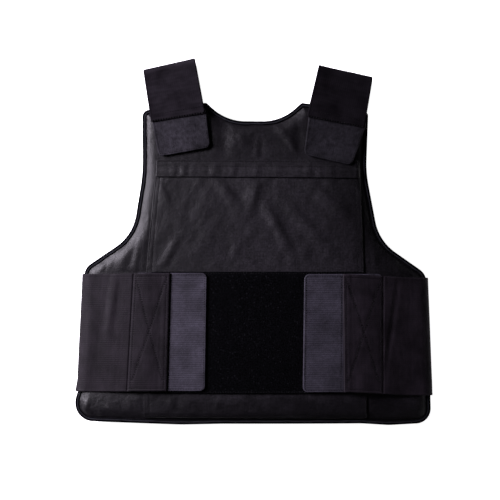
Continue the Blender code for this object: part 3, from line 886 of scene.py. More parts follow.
def rubbed_and_painted_light_group():
    """Where the front is worn smooth, and where its cloth gets painted light and shade: 1 down to 0
    round it.
    """
    tree, start, end = new_group("Rubbed middle and painted light", ["Mask", "Painted Light"])
    parts = axes(tree, start.outputs["Vector"])
    waver = noise(tree, start.outputs["Vector"], 22.0, 2.0)
    waver = calc(tree, "MULTIPLY_ADD", waver, 0.05, -0.025)
    across = calc(tree, "ADD", parts["X"], waver)
    up = calc(tree, "ADD", parts["Y"], waver)
    right = ranged(tree, across, 0.095, 0.150, 1.0, 0.0)
    below = ranged(tree, up, -0.208, -0.192, 0.0, 1.0)
    above = ranged(tree, up, 0.092, 0.125, 1.0, 0.35)
    mask = calc(tree, "MULTIPLY", calc(tree, "MULTIPLY", right, below), above)
    put(tree, end.inputs["Mask"], mask)
    # Painted light and shade: 1, paler, over the lower middle of the front, falling to 0, darker,
    # towards its sides, top and hem
    left = ranged(tree, across, -0.115, 0.0, 0.0, 1.0)
    slanting = calc(tree, "MULTIPLY_ADD", up, 0.5, across)
    far_right = ranged(tree, slanting, 0.10, 0.155, 1.0, 0.0)
    higher = ranged(tree, up, -0.02, 0.07, 1.0, 0.6)
    higher = calc(tree, "MULTIPLY", higher, ranged(tree, up, 0.092, 0.125, 1.0, 0.15))
    painted_light = calc(tree, "MULTIPLY", left, far_right)
    painted_light = calc(tree, "MULTIPLY", painted_light, calc(tree, "MULTIPLY", below, higher))
    put(tree, end.inputs["Painted Light"], painted_light)
    return tree


def painted_side_light_group():
    """Painted light and shade: one strength over the wearer's right side and another over the left,
    with a soft change.
    """
    tree, start, end = new_group("Painted light by side", ["Value"], Right=1.0, Left=1.0)
    place = axes(tree, start.outputs["Vector"])["X"]
    value = ranged(tree, place, -0.04, 0.04, start.outputs["Right"], start.outputs["Left"])
    put(tree, end.inputs["Value"], value)
    return tree


GROUPS = {
    "weave": weave_group,
    "ribs": rib_group,
    "mottle": mottle_group,
    "lint": lint_group,
    "rubbed_and_painted_light": rubbed_and_painted_light_group,
    "painted_side_light": painted_side_light_group,
}
made_groups = {}


def use_group(tree, kind, vector, **values):
    """A node group placed in a material, with its own values."""
    if kind not in made_groups:
        made_groups[kind] = GROUPS[kind]()
    node = tree.nodes.new("ShaderNodeGroup")
    node.node_tree = made_groups[kind]
    put(tree, node.inputs["Vector"], vector)
    for title, value in values.items():
        put(tree, node.inputs[title], value)
    return node.outputs


def tinted(tree, colour, strength):
    """A colour multiplied by a strength that varies over the surface."""
    node = tree.nodes.new("ShaderNodeVectorMath")
    node.operation = "SCALE"
    node.inputs[0].default_value = colour[:3]
    put(tree, node.inputs["Scale"], strength)
    return node.outputs["Vector"]


class Look:
    """A material that is being made, and the two coordinates that its textures use."""

    def __init__(self, name, specular):
        self.made = bpy.data.materials.new(name)
        self.made.use_nodes = True
        self.tree = self.made.node_tree
        self.feed("Metallic", 0.0)
        self.feed("Specular IOR Level", specular)
        coordinates = self.tree.nodes.new("ShaderNodeTexCoord")
        self.place, self.plan = coordinates.outputs["Object"], coordinates.outputs["UV"]

    def feed(self, title, value):
        """Feeds one of the shader's sockets from another socket, or sets it to a value."""
        put(self.tree, self.tree.nodes["Principled BSDF"].inputs[title], value)

    def group(self, kind, vector, **values):
        return use_group(self.tree, kind, vector, **values)

    def mottle(self, scale, low, high):
        return self.group("mottle", self.place, Scale=scale, Low=low, High=high)["Value"]

    def ranged(self, value, low, high, to_low, to_high):
        return ranged(self.tree, value, low, high, to_low, to_high)

    def colour(self, colour, *strengths):
        """Sets the colour, multiplied by strengths that vary over the surface."""
        strength = strengths[0]
        for more in strengths[1:]:
            strength = calc(self.tree, "MULTIPLY", strength, more)
        self.feed("Base Color", tinted(self.tree, colour, strength))

    def bumped(self, height, distance, under=None):
        """Normals of bumps of a distance in metres, on top of others where they are given."""
        node = self.tree.nodes.new("ShaderNodeBump")
        node.inputs["Distance"].default_value = distance
        put(self.tree, node.inputs["Height"], height)
        put(self.tree, node.inputs["Normal"], under)
        return node.outputs["Normal"]

    def grain(self, scale, distance, detail=2.0, under=None):
        """Normals of small uneven bumps."""
        return self.bumped(noise(self.tree, self.place, scale, detail), distance, under)


def carrier_nylon():
    """Tightly woven dark nylon, smoother where it isn't worn, with painted light and shade: paler over
    the lower middle of the front, darker towards its sides, top and hem.
    """
    cloth = bpy.context.scene.vest_cloth
    look = Look("carrier_nylon_cloth", 0.145)
    weave = look.group("weave", look.plan, Pitch=cloth.weave_pitch, Unevenness=0.4)
    wear_and_painted_light = look.group("rubbed_and_painted_light", look.place)
    cloud = look.mottle(scale=38.0, low=0.8, high=1.2)
    speck = look.mottle(scale=430.0, low=0.5, high=1.5)
    shade = look.ranged(weave["Shade"], 0.35, 0.65, 0.6, 1.4)
    # Painted light and shade: paler over the lower middle of the front, darker towards its sides, top
    # and hem
    painted_light = look.ranged(wear_and_painted_light["Painted Light"], 0.0, 1.0, 0.57, 1.38)
    look.colour(cloth.carrier, cloud, speck, shade, painted_light)
    gloss = look.mottle(scale=90.0, low=-0.03, high=0.03)
    worn = look.ranged(wear_and_painted_light["Mask"], 0.0, 1.0, 0.37, 0.455)
    look.feed("Roughness", calc(look.tree, "ADD", worn, gloss))
    creased = look.grain(scale=150.0, distance=0.0004)
    fine = look.grain(scale=850.0, distance=0.00016, under=creased)
    look.feed("Normal", look.bumped(weave["Height"], 0.00004, under=fine))
    return look.made


def binding_tape():
    """Black grosgrain tape: fine ribs across it and a paler line along it."""
    look = Look("binding_tape_cloth", 0.0)
    turned = look.tree.nodes.new("ShaderNodeVectorRotate")
    turned.rotation_type = "Z_AXIS"
    turned.inputs["Angle"].default_value = math.pi / 2
    put(look.tree, turned.inputs["Vector"], look.plan)
    ribs = look.group("ribs", turned.outputs["Vector"], Pitch=0.0011, Unevenness=0.2)
    away = calc(look.tree, "SUBTRACT", axes(look.tree, look.plan)["Y"], TAPE_LINE)
    away = calc(look.tree, "ABSOLUTE", away)
    line = look.ranged(away, 0.0004, 0.0009, 13.0, 1.0)
    cloud = look.mottle(scale=120.0, low=0.7, high=1.4)
    look.colour(bpy.context.scene.vest_cloth.tape, cloud, line)
    look.feed("Roughness", look.mottle(scale=200.0, low=0.55, high=0.7))
    look.feed("Normal", look.bumped(ribs["Height"], 0.0002))
    return look.made


def loop_pile():
    """Deep black pile that gives almost no shine, with a few pale specks of lint."""
    look = Look("loop_pile_cloth", 0.0)
    cloud = look.mottle(scale=700.0, low=0.3, high=1.8)
    lint = look.group("lint", look.place, Scale=330.0, Amount=0.22)["Mask"]
    strength = calc(look.tree, "MULTIPLY_ADD", lint, 2.6, cloud)
    look.colour(bpy.context.scene.vest_cloth.loop, strength)
    look.feed("Roughness", look.mottle(scale=300.0, low=0.85, high=1.0))
    look.feed("Normal", look.grain(scale=900.0, distance=0.0006, detail=3.0))
    return look.made


# Backing of the hook tabs: its shine, the height of its ribs in metres, how pale their grooves are as
# painted shade, how strong its clouds (a painted uneven sheen) and blotches are, and how pale it is on
# either side of the vest as painted light and shade
Hook = namedtuple("Hook", "specular ribs groove cloud blotch right left")
SIDE_HOOK = Hook(0.1, 0.0001, 0.68, 0.42, 0.24, 1.06, 1.04)
SHOULDER_HOOK = Hook(0.03, 0.00002, 0.92, 0.45, 0.42, 1.26, 0.68)


def hook_material(name, colour, hook):
    """Backing of hook tape: paler on its ribs and darker in its grooves as painted shade, clouds as a
    painted uneven sheen, blotches darker and lighter, and painted light and shade by side.
    """
    look = Look(name, hook.specular)
    pitch = bpy.context.scene.vest_cloth.rib_pitch
    ribs = look.group("ribs", look.plan, Pitch=pitch, Unevenness=0.0)
    # Painted uneven sheen: broad clouds paler and darker
    cloud = look.mottle(scale=32.0, low=1 - hook.cloud, high=1 + hook.cloud)
    blotch = look.mottle(scale=240.0, low=1 - hook.blotch, high=1 + hook.blotch)
    # Painted light and shade: a different strength on each side of the vest
    side = look.group("painted_side_light", look.place, Right=hook.right, Left=hook.left)["Value"]
    # Painted shade: darker in the grooves between the ribs, paler on the ribs
    groove = look.ranged(ribs["Groove"], 0.0, 1.0, 1.1, hook.groove)
    look.colour(colour, cloud, blotch, side, groove)
    look.feed("Roughness", look.mottle(scale=150.0, low=0.52, high=0.7))
    grain = look.grain(scale=700.0, distance=0.0003)
    look.feed("Normal", look.bumped(ribs["Height"], hook.ribs, under=grain))
    return look.made


def hook_backing():
    return hook_material("hook_backing_cloth", bpy.context.scene.vest_cloth.hook, SIDE_HOOK)


# The same tape as the side tabs' backing, painted darker as shade
def shoulder_hook_backing():
    colour = bpy.context.scene.vest_cloth.shoulder_hook
    return hook_material("shoulder_hook_cloth", colour, SHOULDER_HOOK)


# Elastic: its shine, and how pale it is on either side of the vest as painted light and shade
Elastic = namedtuple("Elastic", "specular right left")
SIDE_ELASTIC = Elastic(0.05, 0.9, 1.45)
SHOULDER_ELASTIC = Elastic(0.0, 1.5, 0.72)


def elastic_material(name, colour, elastic):
    """Knitted elastic: fine cords along it, darker in the grooves between them as painted shade, faint
    streaks across it, and painted light and shade by side.
    """
    look = Look(name, elastic.specular)
    ribs = look.group("ribs", look.plan, Pitch=BAND_RIB, Unevenness=0.1)
    cloud = look.mottle(scale=40.0, low=0.6, high=1.4)
    streak = noise(look.tree, stretched(look.tree, look.plan, 300, 45), 1.0)
    streak = look.ranged(streak, 0.35, 0.65, 0.86, 1.14)
    # Painted light and shade: a different strength on each side of the vest
    side = look.group("painted_side_light", look.place, Right=elastic.right, Left=elastic.left)["Value"]
    # Painted shade: darker in the grooves between the cords
    groove = look.ranged(ribs["Groove"], 0.0, 1.0, 1.05, 0.86)
    look.colour(colour, cloud, streak, side, groove)
    look.feed("Roughness", look.mottle(scale=130.0, low=0.5, high=0.62))
    grain = look.grain(scale=800.0, distance=0.00016)
    look.feed("Normal", look.bumped(ribs["Height"], 0.00006, under=grain))
    return look.made


def elastic_webbing():
    return elastic_material(
        "elastic_webbing_cloth", bpy.context.scene.vest_cloth.elastic, SIDE_ELASTIC)


def shoulder_elastic_webbing():
    colour = bpy.context.scene.vest_cloth.shoulder_elastic
    return elastic_material("shoulder_elastic_cloth", colour, SHOULDER_ELASTIC)


def sewing_thread():
    """Twisted polyester thread with a slight shine."""
    look = Look("sewing_thread", 0.06)
    twist = look.group("ribs", look.place, Pitch=0.0005, Unevenness=0.3)
    look.colour(bpy.context.scene.vest_cloth.thread, look.mottle(scale=400.0, low=0.7, high=1.3))
    look.feed("Roughness", look.mottle(scale=300.0, low=0.4, high=0.5))
    look.feed("Normal", look.bumped(twist["Height"], 0.0001))
    return look.made


Finish = namedtuple("Finish", "slot make")
FINISHES = {
    "carrier": Finish("carrier_nylon", carrier_nylon),
    "tape": Finish("binding_tape", binding_tape),
    "loop": Finish("loop_pile", loop_pile),
    "hook": Finish("hook_backing", hook_backing),
    "shoulder_hook": Finish("hook_backing", shoulder_hook_backing),
    "elastic": Finish("elastic_webbing", elastic_webbing),
    "shoulder_elastic": Finish("elastic_webbing", shoulder_elastic_webbing),
    "thread": Finish("binding_tape", sewing_thread),
}
made_finishes = {}


def finished(finish):
    """The material of a finish, made the first time it is asked for."""
    if finish not in made_finishes:
        made_finishes[finish] = FINISHES[finish].make()
    return made_finishes[finish]


# The vest's pieces

CARRIER_INSETS = [
    PANEL_EDGE, 4 * MM, 5.6 * MM, 7 * MM, 8.6 * MM, 10.5 * MM, 12.5 * MM, 15 * MM, SWELL_END]


def panel_plan(corners, step, grid):
    """Flat triangles over an outline: rings at the carrier's insets, then an even grid."""
    rings = [ring(corners, inset, step) for inset in CARRIER_INSETS]
    count = len(rings[0])
    points = [np.column_stack([r, np.full(count, inset)]) for r, inset in zip(rings, CARRIER_INSETS)]
    faces = []
    here = np.arange(count)
    ahead = (here + 1) % count
    for k in range(len(rings) - 1):
        a, b = k * count, (k + 1) * count
        faces.append(np.column_stack([a + here, a + ahead, b + ahead]))
        faces.append(np.column_stack([a + here, b + ahead, b + here]))
    inner = rings[-1]
    low, high = inner.min(0), inner.max(0)
    xs = np.arange(low[0], high[0], grid)
    ys = np.arange(low[1], high[1], grid)
    x, y = (a.ravel() for a in np.meshgrid(xs, ys))
    kept = depth_inside(inner, x, y) > 0.5 * grid
    seeds = np.vstack([inner, np.column_stack([x, y])[kept]])
    border = [list(range(count))]
    given = [Vector(p) for p in seeds.tolist()]
    triangles, origin = delaunay_2d_cdt(given, [], border, 1, 1e-7)[2:4]
    start = (len(rings) - 1) * count
    faces.append(np.array([[start + origin[v][0] for v in t] for t in triangles]))
    extra = seeds[count:]
    points.append(np.column_stack([extra, np.full(len(extra), CARRIER_INSETS[-1])]))
    return np.vstack(points), np.vstack(faces), count


def carrier(name, node, corners, mid, relief, step, grid):
    """A panel's carrier cloth over its protective pack, as one closed padded body.

    Its points lie a step apart round the edge and a grid apart in the middle.
    """
    plan, faces, count = panel_plan(corners, step, grid)
    x, y, inset = plan.T
    middle, swell = mid(x, y), half_swell(inset)
    top = np.column_stack([x, y, middle + swell])
    under = np.column_stack([x, y, middle - swell])
    size = len(plan)
    here = np.arange(count)
    ahead = (here + 1) % count
    rim = np.column_stack([ahead, here, size + here])
    rim_too = np.column_stack([ahead, size + here, size + ahead])
    all_faces = [np.vstack([faces, faces[:, ::-1] + size, rim, rim_too])]
    uv = np.tile(plan[:, :2], (2, 1))
    piece = add_piece(name, np.vstack([top, under]), all_faces, uv, "carrier")
    free = clear_of_layers(x, y) * smooth(FLANGE_END, SWELL_END, inset)
    settle(piece, np.concatenate([free, np.zeros(size)]))
    refine_top(piece, size)
    raise_cloth(piece, ring(corners, 0.0, step), mid, relief)
    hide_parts(node)
    return piece


SETTLE_FRAMES = 20
SETTLE_CAP = 0.9 * MM
SETTLE_ROUNDS = 4


def points_of(mesh):
    found = np.empty(len(mesh.vertices) * 3)
    mesh.vertices.foreach_get("co", found)
    return found.reshape(-1, 3)


def evened(mesh, values, rounds):
    """Values at a mesh's points, each averaged with its neighbours' a number of times."""
    ends = np.empty(len(mesh.edges) * 2, np.int32)
    mesh.edges.foreach_get("vertices", ends)
    a, b = ends.reshape(-1, 2).T
    count = np.bincount(ends, minlength=len(values))[:, None]
    for _ in range(rounds):
        total = np.zeros_like(values)
        np.add.at(total, a, values[b])
        np.add.at(total, b, values[a])
        values = (values + total / count) / 2
    return values


def settle(piece, free):
    """Puffs up and wrinkles the cloth where free is above 0, by a short simulation."""
    scene = bpy.context.scene
    held = piece.vertex_groups.new(name="held")
    for index in np.flatnonzero(free < 0.05).tolist():
        held.add([index], 1.0, "REPLACE")
    cloth = piece.modifiers.new("Cloth", "CLOTH")
    settings = cloth.settings
    settings.quality = 6
    settings.mass = 0.25
    settings.tension_stiffness = 12
    settings.compression_stiffness = 12
    settings.shear_stiffness = 4
    settings.bending_stiffness = 4.0
    settings.shrink_min = -0.006
    settings.vertex_group_mass = "held"
    settings.use_pressure = True
    settings.uniform_pressure_force = 4.0
    settings.effector_weights.gravity = 0.0
    cloth.collision_settings.use_collision = False
    cloth.point_cache.frame_start = 1
    cloth.point_cache.frame_end = SETTLE_FRAMES
    for frame_number in range(1, SETTLE_FRAMES + 1):
        scene.frame_set(frame_number)
    shown = piece.evaluated_get(bpy.context.evaluated_depsgraph_get())
    still = points_of(piece.data)
    moved = points_of(shown.data) - still
    piece.modifiers.remove(cloth)
    piece.vertex_groups.remove(held)
    scene.frame_set(1)
    moved = evened(piece.data, moved, SETTLE_ROUNDS)
    far = np.maximum(np.linalg.norm(moved, axis=1), 1e-9)
    capped = SETTLE_CAP * np.tanh(far / SETTLE_CAP) / far * free
    piece.data.vertices.foreach_set("co", (still + moved * capped[:, None]).ravel())


def refine_top(piece, size):
    """Halves the edges of a panel's outer face, whose points are the first size ones."""
    finer = bmesh.new()
    finer.from_mesh(piece.data)
    edges = [e for e in finer.edges if max(e.verts[0].index, e.verts[1].index) < size]
    bmesh.ops.subdivide_edges(finer, edges=edges, cuts=1, use_grid_fill=True)
    finer.to_mesh(piece.data)
    finer.free()
    piece.data.shade_smooth()


def raise_cloth(piece, outline, mid, relief):
    """Raises a panel's outer face by its relief, away from its edge."""
    points = points_of(piece.data)
    x, y, z = points.T
    inset = depth_inside(outline, x, y)
    above = (z > mid(x, y)) & (inset > FLANGE_END)
    raised = relief(x, y, inset) * smooth(FLANGE_END, FLANGE_END + 4 * MM, inset)
    points[:, 2] += np.where(above, raised, 0.0)
    piece.data.vertices.foreach_set("co", points.ravel())
    piece.data.update()


def clear_of_layers(x, y):
    """1 on the front panel's open cloth, 0 under what is sewn or laid on it."""
    clear = np.ones(np.shape(x))
    covers = [POCKET, FLAP]
    for band in BANDS:
        inner, outer = sorted([band.side * band.tab_inner, band.side * 240])
        low, high = band.bottom + band.droop, band.top + min(0, band.droop)
        covers.append([(inner, low), (outer, low), (outer, high), (inner, high)])
    for cover in covers:
        away = -depth_inside(np.array(cover) * MM, x, y)
        clear = np.minimum(clear, smooth(0.5 * MM, 7 * MM, away))
    for strap in STRAPS:
        away = -depth_inside(np.array([*strap.tab_low, *strap.tab_top[::-1]]) * MM, x, y)
        clear = np.minimum(clear, smooth(-1.0 * MM, 14 * MM, away))
    return clear


def front_relief(x, y, inset):
    strength = bpy.context.scene.vest_sewing.fold_strength
    creases = sum(crumple(crease, x, y) for crease in PANEL_CREASES)
    return strength * clear_of_layers(x, y) * (fold_height(PANEL_FOLDS, x, y) + creases)


def flat_relief(x, y, inset):
    return np.zeros(np.shape(x))


# Half of the tape's section from its inner edge on top to the fold, then back inside: how far
# in from the panel's cut edge, and how far from its middle, in millimetres
TAPE_REACH = 5.0
TAPE_OUTSIDE = [
    (TAPE_REACH, 1.75), (4.8, 2.35), (4.2, 2.5), (3.5, 2.75), (2.7, 2.75), (1.8, 2.45), (0.9, 1.9),
    (0.3, 1.1)]
TAPE_INSIDE = [(1.75, 0.0), (2.1, 1.3), (3.4, 1.6), (TAPE_REACH, 1.6)]
# Where its paler line runs, as the sum of both, and its slow wavering and small puckers
TAPE_LINE = 5.9 * MM
TAPE_WAVER = 0.22 * MM
TAPE_WAVER_TURNS = (37, 83)
TAPE_PUFF = 0.10 * MM
TAPE_PUFF_TURNS = 141
TAPE_STEP = 2.4 * MM
TAPE_STITCH_INSET = 3.9 * MM
TAPE_STITCH_HEIGHT = 2.6 * MM


def edge_tape(name, node, corners, mid, seed):
    """Tape folded over a panel's edge: a soft U section swept round the outline, and its seam."""
    below = [(inset, -height) for inset, height in reversed(TAPE_OUTSIDE)]
    inside = [(inset, -height) for inset, height in reversed(TAPE_INSIDE)] + TAPE_INSIDE[1:]
    section = TAPE_OUTSIDE + [(0.0, 0.0)] + below + inside
    rim = ring(corners, 0.0, TAPE_STEP)
    run = np.concatenate([[0], np.cumsum(np.linalg.norm(np.diff(rim, axis=0), axis=1))])
    loop = run / run[-1] * 2 * math.pi
    rings = []
    for inset, height in section:
        slow, quick = (np.sin(turns * loop + k * seed) for k, turns in enumerate(TAPE_WAVER_TURNS, 1))
        waver = TAPE_WAVER * inset / TAPE_REACH * (slow + quick)
        puff = TAPE_PUFF * np.sin(TAPE_PUFF_TURNS * loop + 3 * seed) * np.sign(height)
        near, far = (ring(corners, at * MM, TAPE_STEP) for at in (inset, inset + 1))
        at = near + (far - near) / MM * waver[:, None]
        rings.append(np.column_stack([at, mid(at[:, 0], at[:, 1]) + height * MM + puff]))
    count = len(rim)
    here = np.arange(count)
    ahead = (here + 1) % count
    faces = []
    for k in range(len(section)):
        a, b = k * count, (k + 1) % len(section) * count
        faces.append(np.column_stack([a + here, a + ahead, b + ahead, b + here]))
    depth = np.repeat([height + inset for inset, height in section], count) * MM
    uv = np.column_stack([np.tile(run, len(section)), depth])
    piece = add_piece(name, np.vstack(rings), [np.vstack(faces)], uv, "tape")
    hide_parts(node)
    seam = ring(corners, TAPE_STITCH_INSET, TAPE_STEP)
    stations = path_stations(seam, closed=True)
    x, y = stations[..., 0], stations[..., 1]
    up = np.zeros((*x.shape, 3))
    up[..., 2] = 1.0
    sewn = []
    for face in (1, -1):
        centres = np.stack([x, y, mid(x, y) + face * TAPE_STITCH_HEIGHT], axis=-1)
        sewn.append(stitch_points(centres, up * face))
    add_stitches(f"{name}_stitches", sewn)
    return piece


POCKET_SEAMS = (1.4 * MM, 6.4 * MM)
POCKET_BOW = (6 * MM, 1.5 * MM)
HEM_ROW = 2.6 * MM
SEAM_DEPTH = 0.22 * MM


def seam_groove(distance, width=1.3 * MM):
    """How far cloth is drawn down beside a row of stitches, at a distance from the row."""
    return hump(distance, SEAM_DEPTH, width)


def pocket_relief(x, y, u, v, edge):
    """Small creases, more of them at the side seams, and the seams' own grooves."""
    strength = bpy.context.scene.vest_sewing.fold_strength
    width = v.max()
    free = smooth(-38 * MM, -26 * MM, y)
    low = 1 - smooth(-203 * MM, -193 * MM, y)
    creases = sum(crumple(crease, x, y) for crease in POCKET_CREASES)
    side = np.minimum(v, width - v)
    pucker = crumple(POCKET_PUCKER, x, y) * (1 - smooth(10 * MM, 26 * MM, side))
    groove = sum(seam_groove(side - seam) for seam in POCKET_SEAMS)
    hem = fold_height(HEM_FOLDS, x, y) - seam_groove(u - HEM_ROW)
    return strength * (np.maximum(free, low) * (creases + pucker) + low * hem) - groove


def pocket_height(x, y):
    """Its cloth hangs slack above the loop field, and is flat under the field and the flap."""
    slack = smooth(-37 * MM, -28 * MM, y) * (1 - smooth(72 * MM, 82 * MM, y))
    return layer_base(x, y) + GAP + fold_height(POCKET_FOLDS, x, y) * slack


def flap_height(x, y):
    over = 1 - smooth(88 * MM + FLAP_STEP_FROM, 88 * MM + FLAP_STEP_TO, y)
    return layer_base(x, y) + GAP + (POCKET_CLOTH + GAP) * over


def flap_relief(x, y, u, v, edge):
    strength = bpy.context.scene.vest_sewing.fold_strength
    length = u.max()
    sewn = smooth(0, 12 * MM, length - u)
    gather = crumple(FLAP_GATHER, x, y)
    rows = sum(seam_groove(length - u - row) for row in FLAP_ROWS)
    return strength * sewn * (fold_height(FLAP_FOLDS, x, y) + gather) - rows


def field_height(x, y):
    return front_body(x, y) + GAP + POCKET_CLOTH + GAP


def field_relief(x, y, u, v, edge):
    return crumple(FIELD_WAVES, x, y) - seam_groove(edge - FIELD_ROW)


def pile_loops(name, surface, corners, seed):
    """Small standing loops of yarn scattered over the visible part of a pile."""
    rng = np.random.default_rng(seed)
    low_u, high_u, low_v, high_v = corners
    us = np.arange(low_u, high_u, YARN_SPACING)
    vs = np.arange(low_v, high_v, YARN_SPACING)
    u, v = (a.ravel() for a in np.meshgrid(us, vs, indexing="ij"))
    u = u + rng.uniform(-0.4, 0.4, len(u)) * YARN_SPACING
    v = v + rng.uniform(-0.4, 0.4, len(v)) * YARN_SPACING
    turn = rng.uniform(0, math.pi, len(u))
    tall = YARN_HEIGHT * rng.uniform(0.7, 1.25, len(u))
    places, normals = sample(surface, u, v, 0.0)
    arc = np.radians([0, 45, 90, 135, 180])
    run = np.stack([np.cos(turn), np.sin(turn), np.zeros(len(turn))], axis=-1)
    side = np.cross(normals, run)
    out, up = np.cos(arc)[None, :, None], np.sin(arc)[None, :, None]
    centres = places[:, None, :] + run[:, None, :] * (YARN_REACH * out)
    centres = centres + normals[:, None, :] * (tall[:, None, None] * up - 0.1 * MM)
    outward = run[:, None, :] * out + normals[:, None, :] * up
    angles = np.arange(4) * math.pi / 2
    round_out = outward[:, :, None, :] * np.cos(angles)[:, None]
    round_side = side[:, None, None, :] * np.sin(angles)[:, None]
    points = centres[:, :, None, :] + (round_out + round_side) * YARN_RADIUS
    return add_tubes(name, points, "loop")


def tab_bottom(band, x, y):
    """Underside of a side tab: on the field, then down to the panel beside it."""
    stack = GAP + POCKET_CLOTH + GAP + FIELD_PILE
    edge = band.field_edge * MM
    past = smooth(edge + TAB_SLOPE_FROM, edge + TAB_SLOPE_TO, np.abs(x))
    return front_body(x, y) + GAP + stack * (1 - past)


def rib_rows(distance, pitch, depth):
    """Rounded ribs side by side, at a distance across them."""
    return depth * (np.abs(np.sin(math.pi * distance / pitch)) ** 0.7 - 1)


def side_tab(band):
    """Hook tab of a side band: ribs from the neck down, rounded inner corners, a sewn edge."""
    cloth = bpy.context.scene.vest_cloth
    low = sorted([band.side * (band.tab_inner - 2 * band.side), band.side * band.tab_low])
    high = sorted([band.side * band.tab_inner, band.side * band.tab_top])
    corners = [(low[0], band.bottom), (low[1], band.bottom), (high[1], band.top), (high[0], band.top)]

    def relief(x, y, u, v, edge):
        ribs = rib_rows(u, cloth.rib_pitch, SIDE_TAB_RIB) * smooth(1.5 * MM, TAB_ROW, edge)
        waver = crumple(SIDE_TAB_WAVES, x, y, band.side)
        return ribs + waver + rim_height(SIDE_TAB_RIM, edge)

    piece, surface, flat = laid_sheet(
        f"side_tab_cloth_{band.name}", corners, lambda x, y: tab_bottom(band, x, y), TAB_THICKNESS,
        "hook", radius=TAB_CORNER, step=0.7 * MM, across_step=2 * MM, detail=relief, turned=True)
    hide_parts(f"side_tab_{band.name}")
    width, length = flat
    low, high = TAB_ROW, length - TAB_ROW
    tab_end = (width - TAB_ROW) if band.side < 0 else TAB_ROW
    hidden_end = 0.5 * width
    run = [(low, hidden_end), (low, tab_end), (high, tab_end), (high, hidden_end)]
    covered = (band.end_low - band.tab_inner) * MM - 2.4 * MM
    beside = (width - covered) if band.side < 0 else covered
    inner = [(low, beside), (high, beside)]
    threads = add_stitches(f"side_tab_stitches_{band.name}", sew(surface, run, inner))


def band_lift(band, x):
    """Height of a taut side band over the panel: level on its tab, then a long slope down."""
    stack = POCKET_CLOTH + GAP + FIELD_PILE + GAP + TAB_THICKNESS + GAP
    edge = band.field_edge * MM
    away = np.clip((x - edge) / (BAND_LANDS - edge), 0, 1)
    return GAP + stack * (1 - 1.25 * away**1.3 + 0.25 * away**5)


def leaned(low, top, share):
    """A place in metres, a share of the way from a low place to a top one in millimetres."""
    return (low + (top - low) * share) * MM


def band_paths(band, v):
    """Inner face of a side band for each height v: from below the back panel to its front end."""
    paths = []
    for base in v:
        share = (base / MM - band.bottom) / (band.top - band.bottom)
        strap_end = leaned(band.end_low, band.end_top, share)
        tab_end = leaned(band.tab_low, band.tab_top, share)
        y = base + band.droop * MM
        nearby = np.linspace(-0.002, 0.02, 5)
        edge = max(edge_x(y + offset, band.side) for offset in nearby) + BAND_EDGE_GAP
        turn = edge - BAND_TURN
        low = back_mid(edge, y)
        drop = low - back_bottom(turn, y) + UNDER_GAP
        rise = front_body(edge, y) + GAP - front_mid(edge, y)
        below = np.linspace(BAND_SEWN_FROM, turn, 8)
        path = [(x, y, back_bottom(x, y) - UNDER_GAP) for x in below]
        for degrees in np.linspace(-80, 0, 9):
            angle = math.radians(degrees)
            path.append((turn + BAND_TURN * math.cos(angle), y, low + drop * math.sin(angle)))
        for degrees in np.linspace(0, 90, 12):
            angle = math.radians(degrees)
            x = turn + BAND_TURN * math.cos(angle)
            top = front_body(x, y) + band_lift(band, x)
            path.append((x, y, top - rise * (1 - math.sin(angle))))
        x = np.concatenate([
            np.linspace(turn - 1.2 * MM, tab_end + 3 * MM, 34),
            np.linspace(tab_end + 2.6 * MM, tab_end - 1.8 * MM, 18),
            np.linspace(tab_end - 3 * MM, strap_end + 14 * MM, 24),
            np.linspace(strap_end + 13.4 * MM, strap_end, 26),
        ])
        at = base + band.droop * MM * smooth(strap_end, turn, x)
        path += list(zip(x, at, front_body(x, at) + band_lift(band, x)))
        paths.append(path)
    grid = np.array(paths).transpose(1, 0, 2)
    grid[..., 0] *= band.side
    return grid


END_ROLL = 2.2 * MM


def strip_sheet(name, grid, outward, thickness, detail, finish):
    """A strap from a grid on its inner face, u along it and v across, thickened outwards.

    outward is 1 where a grid whose v runs up to the right faces out, and -1 where it faces in.
    """
    run = np.linalg.norm(np.diff(grid, axis=0), axis=2).mean(1)
    over = np.linalg.norm(np.diff(grid, axis=1), axis=2).mean(0)
    u = np.concatenate([[0], np.cumsum(run)])
    v = np.concatenate([[0], np.cumsum(over)])
    normals = grid_normals(grid) * outward
    edge = np.minimum(np.minimum(u, u[-1] - u)[:, None], np.minimum(v, v[-1] - v)[None, :])
    near_end = np.clip(1 - (u[-1] - u) / END_ROLL, 0, 1)[:, None]
    rolled = 0.6 * thickness * (1 - np.sqrt(1 - near_end**2))
    drop = np.maximum(round_over(edge, thickness), rolled)
    raised = detail(grid[..., 0], grid[..., 1], *np.meshgrid(u, v, indexing="ij"), edge)
    high = thickness - drop + raised * smooth(0, 1.2 * MM, edge)
    piece, surface = thick_sheet(name, grid, normals, drop, high, u, v, finish)
    return piece, surface, (v[-1], u[-1])


def cross_runs(first, last, low, high):
    """Two rows side by side along each leg of a cross between two corners."""
    rows = []
    for shift in (0, 1.5 * MM):
        rows.append([(first + shift, high), (last - 1.5 * MM + shift, low)])
        rows.append([(last - shift, high), (first + 1.5 * MM - shift, low)])
    return rows


def band_runs(band, length, width):
    """A side band's rows of stitches: a box with a cross over its tab, and a row at its end."""
    start = length - (band.tab_low + band.tab_top - band.end_low - band.end_top) / 2 * MM
    first, last = start + 2.5 * MM, length - 4.5 * MM
    low, high = 4 * MM, width - 4 * MM
    return [
        box_run(first, last, low, high),
        *cross_runs(first + 1 * MM, last - 1 * MM, low + 10 * MM, high - 6 * MM),
        [(length - 1.8 * MM, 2 * MM), (length - 1.8 * MM, width - 2 * MM)],
    ]


def near_run(u, v, run, width):
    """1 on a run of (u, v) distances, falling to 0 beside it."""
    nearest = np.full(np.shape(u), 1.0)
    for (u0, v0), (u1, v1) in zip(run, run[1:]):
        across, up = u1 - u0, v1 - v0
        share = np.clip(((u - u0) * across + (v - v0) * up) / (across**2 + up**2), 0, 1)
        nearest = np.minimum(nearest, np.hypot(u - u0 - share * across, v - v0 - share * up))
    return hump(nearest, 1.0, width)


